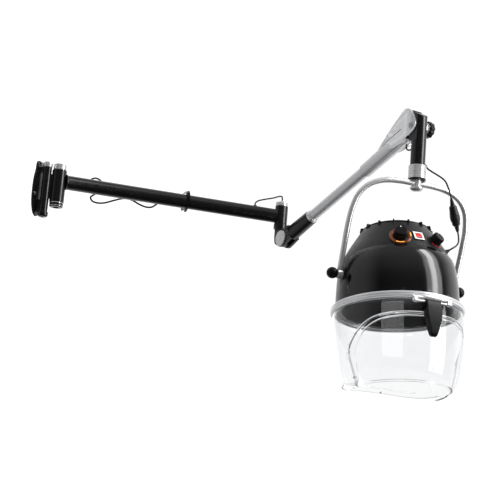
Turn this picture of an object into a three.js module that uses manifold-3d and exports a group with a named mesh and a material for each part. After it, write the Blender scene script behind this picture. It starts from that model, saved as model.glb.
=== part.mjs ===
// A wall-mounted hood hair dryer: a swivelling tube arm, a lifting link arm, a hanging column
// and a tilting hood with a clear visor. Millimetres, +Z up. The wall is the plane x = 0 and
// the origin is the middle of the wall plate's back face, level with the first arm.
import * as THREE from "three";
import { mergeVertices } from "three/addons/utils/BufferGeometryUtils.js";
import Module from "manifold-3d";

const wasm = await Module();
wasm.setup();

// ---- Driving dimensions -------------------------------------------------------------------
const GAP = 0.3; // running and seating gap between neighbouring pieces

const SWIVEL_X = 28; // wall to the first swivel axis
const ROOT_REACH = 37; // first swivel axis to the arm's root barrel
const INNER_LENGTH = 720; // root barrel to elbow barrel
const INNER_YAW = 41; // first arm's direction at rest, degrees from the wall's normal
const INNER_R = 22;

const OUTER_YAW = -35; // second arm's direction at rest
const OUTER_RISE = 21.5; // second arm's slope at rest
const OUTER_LENGTH = 655; // elbow pivot to head pivot
const OUTER_R = 17;
const ELBOW_REACH = 34; // elbow axis to the pivot below it
const ELBOW_DROP = 78;
const LINK_RISE = 12; // link rod's pins above the arm's two pivots

const COLUMN_AHEAD = 12; // head pivot to the column's axis
const COLUMN_R = 21;
const COLUMN_FOOT = -117; // lower end of the black column, from the head pivot
const COLLAR_LENGTH = 38; // chrome collar under the column
const YOKE_DROP = 168; // head pivot to the crossing of stub and bow

const HOOD_YAW = -46; // where the hood faces at rest
const BOW_LEAN = 17; // the bow leans back this far below the stub
const BOW_HEIGHT = 281; // crossing to the hood's pivot axis
const BOW_R = 8;
const HOOD_TILT = 8; // front edge raised at rest

const RING_DROP = 80; // pivot axis to the trim ring's upper edge
const RING_R = 185;
const RING_HEIGHT = 14;
const VISOR_DROP = 236; // ring's upper edge to the lowest edge of the skirt

const LEAD_R = 2.75; // mains lead
const JUMPER_R = 2.4; // short leads between the housings

const SMOOTH = 20; // sides of the large round pieces
const ROUND = 12; // sides of pins and small bosses
const SIDES = 32; // sides of the hood

// ---- Materials ----------------------------------------------------------------------------
const finish = (color, roughness, metalness, opacity = 1) =>
  new THREE.MeshStandardMaterial({
    color,
    roughness,
    metalness,
    opacity,
    transparent: opacity < 1,
  });
const blackPaint = finish(0x111213, 0.25, 0.1);
const glossBlack = finish(0x0b0b0c, 0.12, 0);
const darkPlastic = finish(0x18181a, 0.45, 0);
const chrome = finish(0xd8d8d8, 0.12, 1);
const silver = finish(0xc4c6c9, 0.35, 0.8);
const steel = finish(0x8f9194, 0.4, 1);
const clear = finish(0xf4f6f8, 0.06, 0, 0.25);
const rubber = finish(0x141414, 0.7, 0);
const amber = finish(0xf09a28, 0.3, 0, 0.8);
const red = finish(0xc81e1e, 0.3, 0);
const white = finish(0xe8e8e6, 0.4, 0);

// ---- Geometry helpers ---------------------------------------------------------------------
const rad = THREE.MathUtils.degToRad;

function solidOf(geometry) {
  const bare = geometry.clone();
  bare.deleteAttribute("normal");
  bare.deleteAttribute("uv");
  const merged = mergeVertices(bare, 1e-4);
  return new wasm.Manifold(
    new wasm.Mesh({
      numProp: 3,
      vertProperties: new Float32Array(merged.attributes.position.array),
      triVerts: new Uint32Array(merged.index.array),
    }),
  );
}

function geometryOf(solid) {
  const mesh = solid.getMesh();
  const geometry = new THREE.BufferGeometry();
  geometry.setAttribute("position", new THREE.BufferAttribute(mesh.vertProperties, 3));
  geometry.setIndex(new THREE.BufferAttribute(mesh.triVerts, 1));
  return geometry;
}

function join(first, ...others) {
  return geometryOf(others.reduce((solid, g) => solid.add(solidOf(g)), solidOf(first)));
}

function cut(first, ...tools) {
  return geometryOf(tools.reduce((solid, g) => solid.subtract(solidOf(g)), solidOf(first)));
}

function common(a, b) {
  return geometryOf(solidOf(a).intersect(solidOf(b)));
}

function block([x0, y0, z0], [x1, y1, z1]) {
  const box = new THREE.BoxGeometry(x1 - x0, y1 - y0, z1 - z0);
  return box.translate((x0 + x1) / 2, (y0 + y1) / 2, (z0 + z1) / 2);
}

// A cylinder or cone along an axis, between two stations on it.
function rod(radius, from, to, axis = "z", sides = SMOOTH, endRadius = radius) {
  const made = new THREE.CylinderGeometry(endRadius, radius, to - from, sides);
  made.translate(0, (from + to) / 2, 0);
  if (axis === "z") made.rotateX(Math.PI / 2);
  if (axis === "x") made.rotateZ(-Math.PI / 2);
  return made;
}

// A closed outline of [radius, height] pairs, turned about the Z axis.
function lathe(outline, sides = SMOOTH) {
  const points = outline.map(([r, z]) => new THREE.Vector2(r, z));
  if (THREE.ShapeUtils.area(points) < 0) points.reverse();
  const onAxis = points[0].x === 0 && points[points.length - 1].x === 0;
  if (!onAxis) points.push(points[0].clone());
  return new THREE.LatheGeometry(points, sides).rotateX(Math.PI / 2);
}

// A thin turned wall: the outer line, and the same line moved inwards for the inner face.
function latheWall(outer, thickness, sides) {
  const inner = outer.map(([r, z], i) => {
    const [ra, za] = outer[Math.max(0, i - 1)];
    const [rb, zb] = outer[Math.min(outer.length - 1, i + 1)];
    const length = Math.hypot(rb - ra, zb - za);
    const side = zb > za ? 1 : -1;
    return [
      r - (side * thickness * (zb - za)) / length,
      z + (side * thickness * (rb - ra)) / length,
    ];
  });
  return lathe([...outer, ...inner.reverse()], sides);
}

// Outlines are drawn in X and Z and given a thickness along Y, from y0 to y1.
function slabXZ(shape, y0, y1, curveSegments = 8) {
  const made = new THREE.ExtrudeGeometry(shape, {
    depth: y1 - y0,
    bevelEnabled: false,
    curveSegments,
  });
  return made.rotateX(Math.PI / 2).translate(0, y1, 0);
}

// Outlines are drawn in Y and Z and given a thickness along X, from x0 to x1.
function slabYZ(shape, x0, x1, curveSegments = 8) {
  const made = new THREE.ExtrudeGeometry(shape, {
    depth: x1 - x0,
    bevelEnabled: false,
    curveSegments,
  });
  return made.rotateX(Math.PI / 2).rotateZ(Math.PI / 2).translate(x0, 0, 0);
}

function polygon(points) {
  return new THREE.Shape(points.map(([x, y]) => new THREE.Vector2(x, y)));
}

function disc(radius, cx = 0, cy = 0, sides = 24) {
  const turn = (2 * Math.PI) / sides;
  const at = (i) => [cx + radius * Math.cos(i * turn), cy + radius * Math.sin(i * turn)];
  return polygon(Array.from({ length: sides }, (_, i) => at(i)));
}

// A shape that is the same on both sides of Y = 0, from the points of its right half.
function mirrored(half) {
  const left = half.map(([y, z]) => [-y, z]).filter(([y]) => y !== 0);
  return polygon([...half, ...left.reverse()]);
}

// A smooth half outline through a few points, then mirrored.
function smoothMirrored(half, count = 16) {
  const curve = new THREE.SplineCurve(half.map(([x, y]) => new THREE.Vector2(x, y)));
  return mirrored(curve.getPoints(count).map((p) => [Math.max(0, p.x), p.y]));
}

// A round tube or lead along a smooth line through points.
function alongPoints(points, radius, steps, sides = 8) {
  const path = new THREE.CatmullRomCurve3(points.map((p) => new THREE.Vector3(...p)));
  return new THREE.ExtrudeGeometry(disc(radius, 0, 0, sides), {
    extrudePath: path,
    steps,
    bevelEnabled: false,
  });
}

// A frame inside another: moved, then turned by yaw about Z, then raised about its own Y.
function frame(parent, position, yaw = 0, rise = 0) {
  const group = new THREE.Group();
  group.position.set(...position);
  group.rotation.set(0, -rad(rise), rad(yaw), "ZYX");
  parent.add(group);
  return group;
}

function add(group, name, material, geometry) {
  const mesh = new THREE.Mesh(geometry, material);
  mesh.name = name;
  group.add(mesh);
  return mesh;
}

// ---- Frames -------------------------------------------------------------------------------
const dryer = new THREE.Group();
const swivel = frame(dryer, [SWIVEL_X, 0, 0]);
const inner = frame(swivel, [0, 0, 0], INNER_YAW);
const elbow = frame(inner, [ROOT_REACH + INNER_LENGTH, 0, 0], OUTER_YAW - INNER_YAW);
const elbowPivot = [ELBOW_REACH, 0, -ELBOW_DROP];
const outer = frame(elbow, elbowPivot, 0, OUTER_RISE);
const link = frame(elbow, [ELBOW_REACH, 0, LINK_RISE - ELBOW_DROP], 0, OUTER_RISE);
const head = frame(outer, [OUTER_LENGTH, 0, 0], 0, -OUTER_RISE);
const yoke = frame(head, [COLUMN_AHEAD, 0, -YOKE_DROP], HOOD_YAW - OUTER_YAW);
const bow = frame(yoke, [0, 0, 0], 0, -BOW_LEAN);
const hoodPivot = frame(bow, [0, 0, -BOW_HEIGHT], 0, BOW_LEAN + HOOD_TILT);
const hood = frame(hoodPivot, [0, 0, -RING_DROP]);

// ---- Wall bracket -------------------------------------------------------------------------
const PLATE_OUTLINE = [[0, 62], [16, 61], [21, 50], [22, 30], [29, 0], [31, -34], [24, -74], [0, -112]];
const LUG_R = 13;
const UPPER_LUG = [23, 37];
const LOWER_LUG = [-100, -64];
const PIN_R = 6;
const SCREW_PLACES = { top: [0, 50], left: [-21, -48], right: [21, -48] };

function wallPlate() {
  const base = slabYZ(smoothMirrored(PLATE_OUTLINE, 14), 0, 5);
  const padHalf = PLATE_OUTLINE.map(([y, z]) => [y * 0.62, (z + 20) * 0.72 - 26]);
  const pad = slabYZ(smoothMirrored(padHalf, 10), 4, 10);
  const lugs = [UPPER_LUG, LOWER_LUG].map(([low, high]) =>
    join(
      rod(LUG_R, low, high).translate(SWIVEL_X, 0, 0),
      block([3, -9, low], [SWIVEL_X, 9, high]),
    ),
  );
  const holes = Object.values(SCREW_PLACES).map(([y, z]) =>
    rod(3.2, -1, 12, "x", 12).translate(0, y, z),
  );
  const bore = rod(PIN_R + GAP, -120, 60).translate(SWIVEL_X, 0, 0);
  const seats = Object.values(SCREW_PLACES).map(([y, z]) =>
    rod(7, 5, 12, "x", ROUND).translate(0, y, z),
  );
  return cut(join(base, cut(pad, ...seats), ...lugs), bore, ...holes);
}

function wallScrew() {
  const shank = rod(2.8, 0.5, 5 + GAP + 0.2, "x", 12);
  const cap = rod(6, 5 + GAP, 8, "x", ROUND, 4.5);
  return cut(join(shank, cap), block([7, -3.5, -0.6], [9, 3.5, 0.6]));
}

function swivelPin() {
  const shaft = rod(PIN_R, -112, 38.4);
  const cap = lathe([[0, 37.3], [14, 37.3], [14, 50], [11, 55], [0, 56.5]]);
  return join(shaft, cap);
}

add(dryer, "wall_plate", blackPaint, wallPlate());
for (const [place, [y, z]] of Object.entries(SCREW_PLACES)) {
  add(dryer, `wall_screw_${place}`, steel, wallScrew().translate(0, y, z));
}
add(swivel, "swivel_pin", chrome, swivelPin());
const swivelNut = lathe([
  [PIN_R + GAP, -100.3], [14.5, -100.3], [15.5, -103], [15.5, -112], [12, -116], [PIN_R + GAP, -116],
]);
add(swivel, "swivel_nut", chrome, swivelNut);

// ---- First arm ----------------------------------------------------------------------------
const HUB = [-63.7, 22.7]; // the eye between the bracket's two lugs
const BARREL = [-67, 33];
const BARREL_R = 22;
const ELBOW_BARREL = [-25.3, 33];
const ELBOW_R = 20.5;
const SPINDLE_R = 11.6;
const ELBOW_X = ROOT_REACH + INNER_LENGTH;

function armRoot() {
  const eye = rod(LUG_R, ...HUB);
  const barrel = rod(BARREL_R, ...BARREL).translate(ROOT_REACH, 0, 0);
  const web = block([8, -8, -58], [ROOT_REACH - 8, 8, 17]);
  const hollow = rod(15, BARREL[0] - 1, BARREL[1] + 1).translate(ROOT_REACH, 0, 0);
  return cut(join(eye, web, barrel), hollow, rod(PIN_R + GAP, -80, 40));
}

function barrelCap(top) {
  const z = top + GAP;
  const outline = [
    [0, z - 10], [14.7, z - 10], [14.7, z], [20, z], [20, z + 16], [17, z + 19], [0, z + 19],
  ];
  return lathe(outline);
}

function barrelRing(bottom) {
  const z = bottom - GAP;
  const outline = [
    [10, z + 8], [14.7, z + 8], [14.7, z], [21, z], [21, z - 3], [19.5, z - 4], [21, z - 6],
    [20, z - 14], [10, z - 14],
  ];
  return lathe(outline);
}

function innerTube() {
  const from = ROOT_REACH + 15;
  const to = ELBOW_X - 15;
  return cut(
    rod(INNER_R, from, to, "x", SMOOTH),
    rod(INNER_R - 2.5, from - 1, to + 1, "x", SMOOTH),
    rod(BARREL_R + GAP, -60, 60).translate(ROOT_REACH, 0, 0),
    rod(ELBOW_R + GAP, -60, 60).translate(ELBOW_X, 0, 0),
  );
}

function elbowCap() {
  const z = ELBOW_BARREL[1] + GAP;
  const rim = ELBOW_R - 0.5;
  const outline = [
    [0, z], [rim, z], [rim, z + 11], [16, z + 15], [5, z + 16.5], [5, z + 19], [0, z + 19],
  ];
  return lathe(outline);
}

add(inner, "arm_root_casting", blackPaint, armRoot());
add(inner, "root_barrel_cap", chrome, barrelCap(BARREL[1]).translate(ROOT_REACH, 0, 0));
add(inner, "root_barrel_ring", chrome, barrelRing(BARREL[0]).translate(ROOT_REACH, 0, 0));
add(inner, "inner_arm_tube", blackPaint, innerTube());
const elbowBarrel = cut(rod(ELBOW_R, ...ELBOW_BARREL), rod(12, -40, 40));
add(inner, "elbow_barrel", blackPaint, elbowBarrel.translate(ELBOW_X, 0, 0));
add(inner, "elbow_cap", chrome, elbowCap().translate(ELBOW_X, 0, 0));

// The lead leaves the tube's top, bridges the elbow and enters the cap.
const ELBOW_LEAD = [
  [-90, 0, 22.4], [-90, 0, 30], [-84, 0, 38], [-63, 0, 47], [-31, 0, 57], [-12, 0, 65],
  [-2, 0, 66], [0, 0, 60], [0, 0, 52.9],
];
add(inner, "elbow_lead", rubber, alongPoints(ELBOW_LEAD, JUMPER_R, 14).translate(ELBOW_X, 0, 0));

// ---- Mains lead, tied in a hank behind the first arm ---------------------------------------
const GLAND_X = 120;
const HANK_X = 372; // near end of the hank
const HANK_RUN = 100; // straight part of a run
const HANK_FOLD = 16.5; // radius of a fold, at the lead's centre
const HANK_TURNS = 5;
const HANK_Z = 10;
const HANK_Y = INNER_R + 3; // near face
const LEAD_ROUTE = [
  [GLAND_X, 39.6, 0], [GLAND_X, 48, 0], [127, 58, 14], [141, 56, 32], [158, 50, 41],
  [175, 46, 34], [181, 44, 17], [174, 44, -2], [158, 42, -13], [147, 40, -24], [153, 38, -35],
  [170, 36, -39], [192, 36, -35], [222, 38, -22], [252, 40, -11], [276, 40, -12],
  [300, 38, -22], [322, 36, -28], [340, 35, -26], [352, 34, -17], [362, 30, -9],
  [HANK_X + 5.4, 28.2, -6.5],
];

function hankOutline(grow) {
  const r = HANK_FOLD + grow;
  const near = HANK_X + HANK_FOLD + LEAD_R;
  const shape = new THREE.Shape();
  shape.moveTo(near, HANK_Z - r);
  shape.lineTo(near + HANK_RUN, HANK_Z - r);
  shape.absarc(near + HANK_RUN, HANK_Z, r, -Math.PI / 2, Math.PI / 2, false);
  shape.lineTo(near, HANK_Z + r);
  shape.absarc(near, HANK_Z, r, Math.PI / 2, (3 * Math.PI) / 2, false);
  return shape;
}

function hank() {
  const shape = hankOutline(LEAD_R);
  shape.holes.push(hankOutline(-LEAD_R));
  return slabXZ(shape, HANK_Y, HANK_Y + HANK_TURNS * 2 * LEAD_R, 10);
}

// A strap round the arm and the hank: a long loop, with the same inside moved in.
function tie() {
  const [yFar, zHigh, zLow] = [HANK_Y + HANK_TURNS * 2 * LEAD_R + 1, 32, -24];
  const loop = (grow) =>
    polygon([
      [-24 - grow, -10], [-24 - grow, 12], [-14 - grow, 26 + grow], [yFar + grow, zHigh + grow],
      [yFar + grow, -9 - 1.2 - grow], [16, zLow - grow], [-14, zLow - grow],
    ]);
  const strap = cut(slabYZ(loop(1.5), 0, 14), slabYZ(loop(0), -1, 15));
  return strap.translate(HANK_X + 60, 0, 0);
}

function mainsPlug() {
  const body = rod(14, 0, 34, "x", 12, 17);
  const nose = rod(4.5, -28, 0.5, "x", 12, 8);
  const pins = [-9.5, 9.5].map((y) => rod(2.4, 33, 53, "x", 12).translate(0, y, 0));
  return join(nose, body, ...pins);
}

const hankEnd = HANK_X + HANK_RUN + 2 * (HANK_FOLD + LEAD_R);
const tailY = HANK_Y + HANK_TURNS * 2 * LEAD_R - LEAD_R;
const gland = rod(8, INNER_R - 0.5, INNER_R + 3, "y", 12);
gland.translate(0, GAP + 0.6, 0);
const glandCone = rod(6.5, INNER_R + 2, INNER_R + 17, "y", 12, 3.6);
add(inner, "mains_gland", rubber, join(gland, glandCone).translate(GLAND_X, 0, 0));
add(inner, "mains_lead", rubber, alongPoints(LEAD_ROUTE, LEAD_R, 40));
add(inner, "mains_hank", rubber, hank());
add(inner, "hank_tie", darkPlastic, tie());
const tail = rod(LEAD_R, hankEnd + GAP, hankEnd + 14, "x", 8).translate(0, tailY, HANK_Z);
add(inner, "mains_lead_tail", rubber, tail);
const plug = mainsPlug().translate(hankEnd + 14 + 28 + GAP, tailY, HANK_Z);
add(inner, "mains_plug", rubber, plug);

// ---- Elbow knuckle ------------------------------------------------------------------------
const TONGUE_HALF = 8;
const PIVOT_R = 5;
const LINK_EYE_R = 5;

function knuckle() {
  const spindle = rod(SPINDLE_R, -32, 30);
  const table = rod(ELBOW_R + 1, -42, ELBOW_BARREL[0] - 0.5);
  const side = new THREE.Shape();
  side.moveTo(-19, -40);
  side.lineTo(-19, -64);
  side.quadraticCurveTo(-17, -88, 10, -98);
  side.quadraticCurveTo(34, -106, 52, -92);
  side.quadraticCurveTo(62, -74, 48, -58);
  side.lineTo(19, -40);
  const tongue = slabXZ(side, -TONGUE_HALF, TONGUE_HALF);
  const rodSlot = block([ELBOW_REACH - 8, -3.5, -ELBOW_DROP + 6], [80, 3.5, -45]);
  const pivotBore = rod(PIVOT_R + GAP, -20, 20, "y", ROUND).translate(ELBOW_REACH, 0, -ELBOW_DROP);
  const linkBore = rod(2.8, -20, 20, "y", 12).translate(ELBOW_REACH, 0, LINK_RISE - ELBOW_DROP);
  return cut(join(spindle, table, tongue), rodSlot, pivotBore, linkBore);
}

add(elbow, "elbow_knuckle", blackPaint, knuckle());

// ---- Second arm ---------------------------------------------------------------------------
const SOCKET_END = 142;
const FORK_HALF = 17;
const TUBE_FROM = 76;
const TUBE_TO = 612;
const COVER_FROM = 416;
const COVER_HALF = 22;

function armSocket() {
  const cheeks = new THREE.Shape();
  cheeks.absarc(0, 0, 27, Math.PI / 2, (3 * Math.PI) / 2, false);
  cheeks.lineTo(46, -23);
  cheeks.lineTo(46, 23);
  const fork = slabXZ(cheeks, -FORK_HALF, FORK_HALF, 10);
  const body = rod(23.5, 36, SOCKET_END, "x", SMOOTH, 22);
  const slot = block([-30, -TONGUE_HALF - 0.5, -32], [36, TONGUE_HALF + 0.5, 32]);
  const rodWay = rod(14.5, 20, 80, "x", SMOOTH);
  const tubeBore = rod(OUTER_R + GAP, TUBE_FROM - GAP, SOCKET_END + 1, "x", SMOOTH);
  const bore = rod(PIVOT_R + GAP, -30, 30, "y", ROUND);
  const window = block([48, -30, -7], [68, -19, 7]);
  return cut(join(fork, body), slot, rodWay, tubeBore, bore, window);
}

// The silver head casting: a sleeve on the tube that deepens into two cheeks at the pivot.
function headCover() {
  const crest = new THREE.Shape();
  crest.moveTo(500, 0);
  crest.lineTo(500, 21);
  crest.quadraticCurveTo(530, 27, 560, 40);
  crest.lineTo(628, 65);
  crest.quadraticCurveTo(640, 69, 652, 64);
  crest.lineTo(664, 56);
  crest.quadraticCurveTo(672, 40, 676, 14);
  crest.quadraticCurveTo(680, -8, 664, -18);
  crest.quadraticCurveTo(650, -24, 626, -21);
  crest.lineTo(560, -16);
  const plan = polygon([
    [496, -12], [560, -COVER_HALF], [690, -COVER_HALF],
    [690, COVER_HALF], [560, COVER_HALF], [496, 12],
  ]);
  const tapered = new THREE.ExtrudeGeometry(plan, { depth: 120, bevelEnabled: false });
  tapered.translate(0, 0, -40);
  const plate = common(slabXZ(crest, -COVER_HALF - 1, COVER_HALF + 1), tapered);
  const sleeve = rod(21, COVER_FROM, 616, "x", SMOOTH);
  const tubeBore = rod(OUTER_R + GAP, COVER_FROM - 1, TUBE_TO + GAP, "x", SMOOTH);
  const rodWay = rod(14.5, 600, 640, "x", SMOOTH);
  const headRoom = block([618, -18.4, -40], [720, 18.4, 46]);
  const bore = rod(PIVOT_R + GAP, -30, 30, "y", ROUND).translate(OUTER_LENGTH, 0, 0);
  const parting = block([466, -COVER_HALF - 1, 11.4], [610, -COVER_HALF + 1.4, 13.2]);
  return cut(join(plate, sleeve), tubeBore, rodWay, headRoom, bore, parting);
}

function elbowPivotPin() {
  const shaft = rod(PIVOT_R, -20, 17, "y", ROUND);
  const cap = rod(25, -22, -FORK_HALF - GAP, "y", SMOOTH);
  const step = rod(20, -23.5, -21.5, "y", SMOOTH);
  return join(shaft, cap, step);
}

function headBolt() {
  return join(rod(PIVOT_R, -22.5, 34, "y", ROUND), rod(10, -24.5, -COVER_HALF - GAP, "y", ROUND));
}

const tubeHollow = rod(OUTER_R - 2, TUBE_FROM - 1, TUBE_TO + 1, "x", SMOOTH);
const socketCollar = cut(
  rod(21, SOCKET_END + GAP, SOCKET_END + 12, "x", SMOOTH),
  rod(OUTER_R + GAP, SOCKET_END, SOCKET_END + 13, "x", SMOOTH),
);
const farDisc = cut(rod(22, FORK_HALF + GAP, 23, "y", SMOOTH), rod(PIVOT_R + GAP, 0, 20, "y", ROUND));
add(outer, "arm_socket", blackPaint, armSocket());
add(outer, "elbow_pivot_pin", chrome, elbowPivotPin());
add(outer, "elbow_pivot_nut", blackPaint, farDisc);
add(outer, "socket_collar", chrome, socketCollar);
add(outer, "outer_arm_tube", silver, cut(rod(OUTER_R, TUBE_FROM, TUBE_TO, "x", SMOOTH), tubeHollow));
add(outer, "arm_head_cover", silver, headCover());
add(outer, "head_bolt", steel, headBolt().translate(OUTER_LENGTH, 0, 0));

// The rod that keeps the column upright: it turns on a cross pin at each end.
function linkRod() {
  const ends = [0, OUTER_LENGTH].map((x) =>
    join(rod(LINK_EYE_R, -3, 3, "y", ROUND), rod(2.5, -7, 7, "y", 12)).translate(x, 0, 0),
  );
  return join(rod(2.5, 0, OUTER_LENGTH, "x", 12), ...ends);
}
add(link, "link_rod", steel, linkRod());

// ---- Column -------------------------------------------------------------------------------
const HEAD_HALF = 18;
const HEAD_FOOT = -44;

function columnHead() {
  const side = new THREE.Shape();
  side.moveTo(-9, HEAD_FOOT);
  side.lineTo(COLUMN_AHEAD + COLUMN_R, HEAD_FOOT);
  side.lineTo(COLUMN_AHEAD + COLUMN_R, 17);
  side.quadraticCurveTo(31, 27, 20, 32);
  side.lineTo(2, 41);
  side.lineTo(-7, 38);
  side.quadraticCurveTo(-20, 22, -21, 0);
  side.quadraticCurveTo(-20, -18, -9, -26);
  const round = rod(COLUMN_R, HEAD_FOOT, 45, "z", SMOOTH).translate(COLUMN_AHEAD, 0, 0);
  const flat = block([-30, -HEAD_HALF, HEAD_FOOT], [COLUMN_AHEAD, HEAD_HALF, 45]);
  const blade = common(slabXZ(side, -HEAD_HALF, HEAD_HALF), join(round, flat));
  const spigot = rod(17, -64, HEAD_FOOT + 1).translate(COLUMN_AHEAD, 0, 0);
  const slot = block([-30, -3.5, -22], [8, 3.5, 26]);
  const bore = rod(PIVOT_R + GAP, -20, 20, "y", ROUND);
  const linkBore = rod(2.8, -20, 20, "y", 12).translate(0, 0, LINK_RISE);
  return cut(join(blade, spigot), slot, bore, linkBore);
}

function columnTube() {
  const wall = cut(rod(COLUMN_R, COLUMN_FOOT, HEAD_FOOT - GAP, "z", SMOOTH), rod(17.4, -120, -30));
  return wall.translate(COLUMN_AHEAD, 0, 0);
}

function columnCollar() {
  const z = COLUMN_FOOT - GAP;
  const foot = z - COLLAR_LENGTH;
  const ribs = [9, 20, 31].flatMap((down) => [
    [25, z - down + 1.5], [23.8, z - down], [25, z - down - 1.5],
  ]);
  return lathe([[13.4, z], [24, z], [25, z - 1.5], ...ribs, [25, foot], [13.4, foot]]);
}

function clampKnob() {
  const outline = [
    [PIVOT_R + GAP, 24.4], [14, 24.4], [14, 30], [18, 33.4], [22, 34], [24, 37], [24, 46],
    [20, 51], [0, 52.5], [0, 36], [PIVOT_R + GAP, 36],
  ];
  return lathe(outline, 12).rotateX(-Math.PI / 2);
}

const COLUMN_LEAD = [
  [-39, 0, -42.8], [-41, 0, -50], [-38, 0, -58], [-30, 0, -62.5], [-20, 0, -63], [-9.6, 0, -62],
];
add(head, "column_head", blackPaint, columnHead());
add(head, "column_tube", blackPaint, columnTube());
add(head, "column_collar", chrome, columnCollar().translate(COLUMN_AHEAD, 0, 0));
add(head, "head_clamp_knob", darkPlastic, clampKnob());
add(head, "column_lead", rubber, alongPoints(COLUMN_LEAD, JUMPER_R, 10));

// ---- Yoke ---------------------------------------------------------------------------------
const BOW_HALF_LINE = [
  [180, 8], [181, 60], [182, 120], [180, 180], [167, 228], [140, 258], [100, 275], [50, 281],
];

function bowPath() {
  const right = BOW_HALF_LINE.map(([y, z]) => [0, y, z - BOW_HEIGHT]);
  const left = BOW_HALF_LINE.map(([y, z]) => [0, -y, z - BOW_HEIGHT]).reverse();
  return [...right, [0, 0, 0], ...left];
}

// Both ends of the bow are eyes round the clamp screws.
function bowTube() {
  const eyes = [0, Math.PI].map((turn) => rod(13, 172, 187, "y", ROUND).rotateZ(turn));
  const bore = rod(5.4, -200, 200, "y", ROUND);
  const ends = eyes.map((eye) => eye.translate(0, 0, -BOW_HEIGHT));
  const tube = alongPoints(bowPath(), BOW_R, 32, 10);
  return cut(join(tube, ...ends), bore.translate(0, 0, -BOW_HEIGHT));
}

function yokeStub() {
  const top = YOKE_DROP - 70;
  const stops = YOKE_DROP + COLUMN_FOOT + 1;
  const shaft = rod(13, -10, top);
  const flange = rod(16.6, stops, stops + 6);
  const cap = lathe([[0, -10], [17, -10], [18.5, -11.5], [18.5, -16], [13, -20.5], [0, -22]]);
  const cross = rod(BOW_R + 2 * GAP, -30, 30, "y", ROUND);
  return cut(join(shaft, flange, cap), cross);
}

const washerTop = YOKE_DROP + COLUMN_FOOT - COLLAR_LENGTH - 2 * GAP;
const washerFoot = washerTop - 3;
const swivelWasher = lathe([[13.4, washerTop], [25.5, washerTop], [25.5, washerFoot], [13.4, washerFoot]]);
add(bow, "yoke_bow", chrome, bowTube());
add(yoke, "yoke_stub", chrome, yokeStub());
add(yoke, "swivel_washer", darkPlastic, swivelWasher);

// In-line connector clipped inside the bow's left leg, with a lead at each end.
const CONNECTOR = { from: [3, 156, -110], to: [13, 109, -22] };

function connector() {
  const from = new THREE.Vector3(...CONNECTOR.from);
  const to = new THREE.Vector3(...CONNECTOR.to);
  const length = from.distanceTo(to);
  const outline = [
    [0, 0], [4.5, 0], [7, 14], [11, 22], [14, 36], [14, 50], [11, 58], [11, 74], [7, 80],
    [4.5, length], [0, length],
  ];
  const made = lathe(outline, 12);
  const turn = new THREE.Quaternion().setFromUnitVectors(
    new THREE.Vector3(0, 0, 1),
    to.clone().sub(from).normalize(),
  );
  return made.applyQuaternion(turn).translate(...CONNECTOR.from);
}

add(bow, "lead_connector", rubber, connector());

// ---- Hood: ring, shell and top -------------------------------------------------------------
const SHELL_LINE = [
  [172, 0.4], [168.5, 60], [163, 106], [147, 148], [128, 181], [109, 210], [98, 226], [78, 226],
];
// The gloss front cover swells a little beyond the shell's cone.
const FASCIA_LINE = [
  [172, 0.4], [170.5, 60], [167.5, 90], [163, 115], [157, 132], [150, 142], [147.5, 147],
];
const FASCIA_EDGE = [
  [0, 147], [60, 146.5], [110, 143], [142, 137], [157, 124], [165, 100], [168, 60], [168, -1],
];
const FASCIA_FROM = 25; // the cover lies in front of this plane
const VENT_RIBS = 15;
const PIVOT_Z = RING_DROP; // pivot axis above the ring's upper edge
const CONTROLS = {
  timer: { turn: -24.4, z: 170, r: 135, rise: 30 },
  thermostat: { turn: 19.5, z: 167, r: 137, rise: 30 },
  rocker: { turn: -2.3, z: 175, r: 132.5, rise: 30 },
};

function aroundTop(piece, offset) {
  const step = (2 * Math.PI) / VENT_RIBS;
  return Array.from({ length: VENT_RIBS }, (_, i) => piece().rotateZ((i + offset) * step));
}

// Moves a piece drawn on +X onto the shell, square to the wall at a control's place.
function onShell(geometry, { turn, z, r, rise }) {
  return geometry.rotateY(-rad(rise)).translate(r, 0, z).rotateZ(rad(turn));
}

function hoodShell() {
  const cone = latheWall(SHELL_LINE, 3, SIDES);
  const front = slabYZ(smoothMirrored(FASCIA_EDGE), FASCIA_FROM, 200);
  const fascia = common(latheWall(FASCIA_LINE, 5, SIDES), front);
  const fins = aroundTop(() => block([92, -1.5, 212], [104.5, 1.5, 226]), 0.625);
  const wall = join(cone, fascia, ...fins);
  const bosses = [1, -1].flatMap((side) => [
    rod(16, 160, 170.8, "y", ROUND).rotateZ(side > 0 ? 0 : Math.PI).translate(0, 0, PIVOT_Z),
    block([-17, side > 0 ? 160 : -168.6, PIVOT_Z - 40], [17, side > 0 ? 168.6 : -160, PIVOT_Z + 22]),
  ]);
  const studHoles = rod(4.4, -200, 200, "y", ROUND).translate(0, 0, PIVOT_Z);
  const pads = [
    onShell(rod(33, -9, 1, "x", SMOOTH), CONTROLS.timer),
    onShell(rod(22, -9, 1, "x", SMOOTH), CONTROLS.thermostat),
    onShell(block([-9, -15, -15], [1, 15, 15]), CONTROLS.rocker),
  ];
  const spindles = [CONTROLS.timer, CONTROLS.thermostat].map((place) =>
    onShell(rod(3.4, -16, 6, "x", 12), place),
  );
  const rockerWell = onShell(block([-5, -12.3, -12.3], [6, 12.3, 12.3]), CONTROLS.rocker);
  return cut(join(wall, ...bosses, ...pads), studHoles, ...spindles, rockerWell);
}

function trimRing() {
  const outline = [
    [160, 0], [173, 0], [173, 1.5], [183, 1.5], [RING_R, -0.5], [RING_R, -RING_HEIGHT],
    [176.2, -RING_HEIGHT], [176.2, -3], [160, -3],
  ];
  return lathe(outline, SIDES);
}

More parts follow.
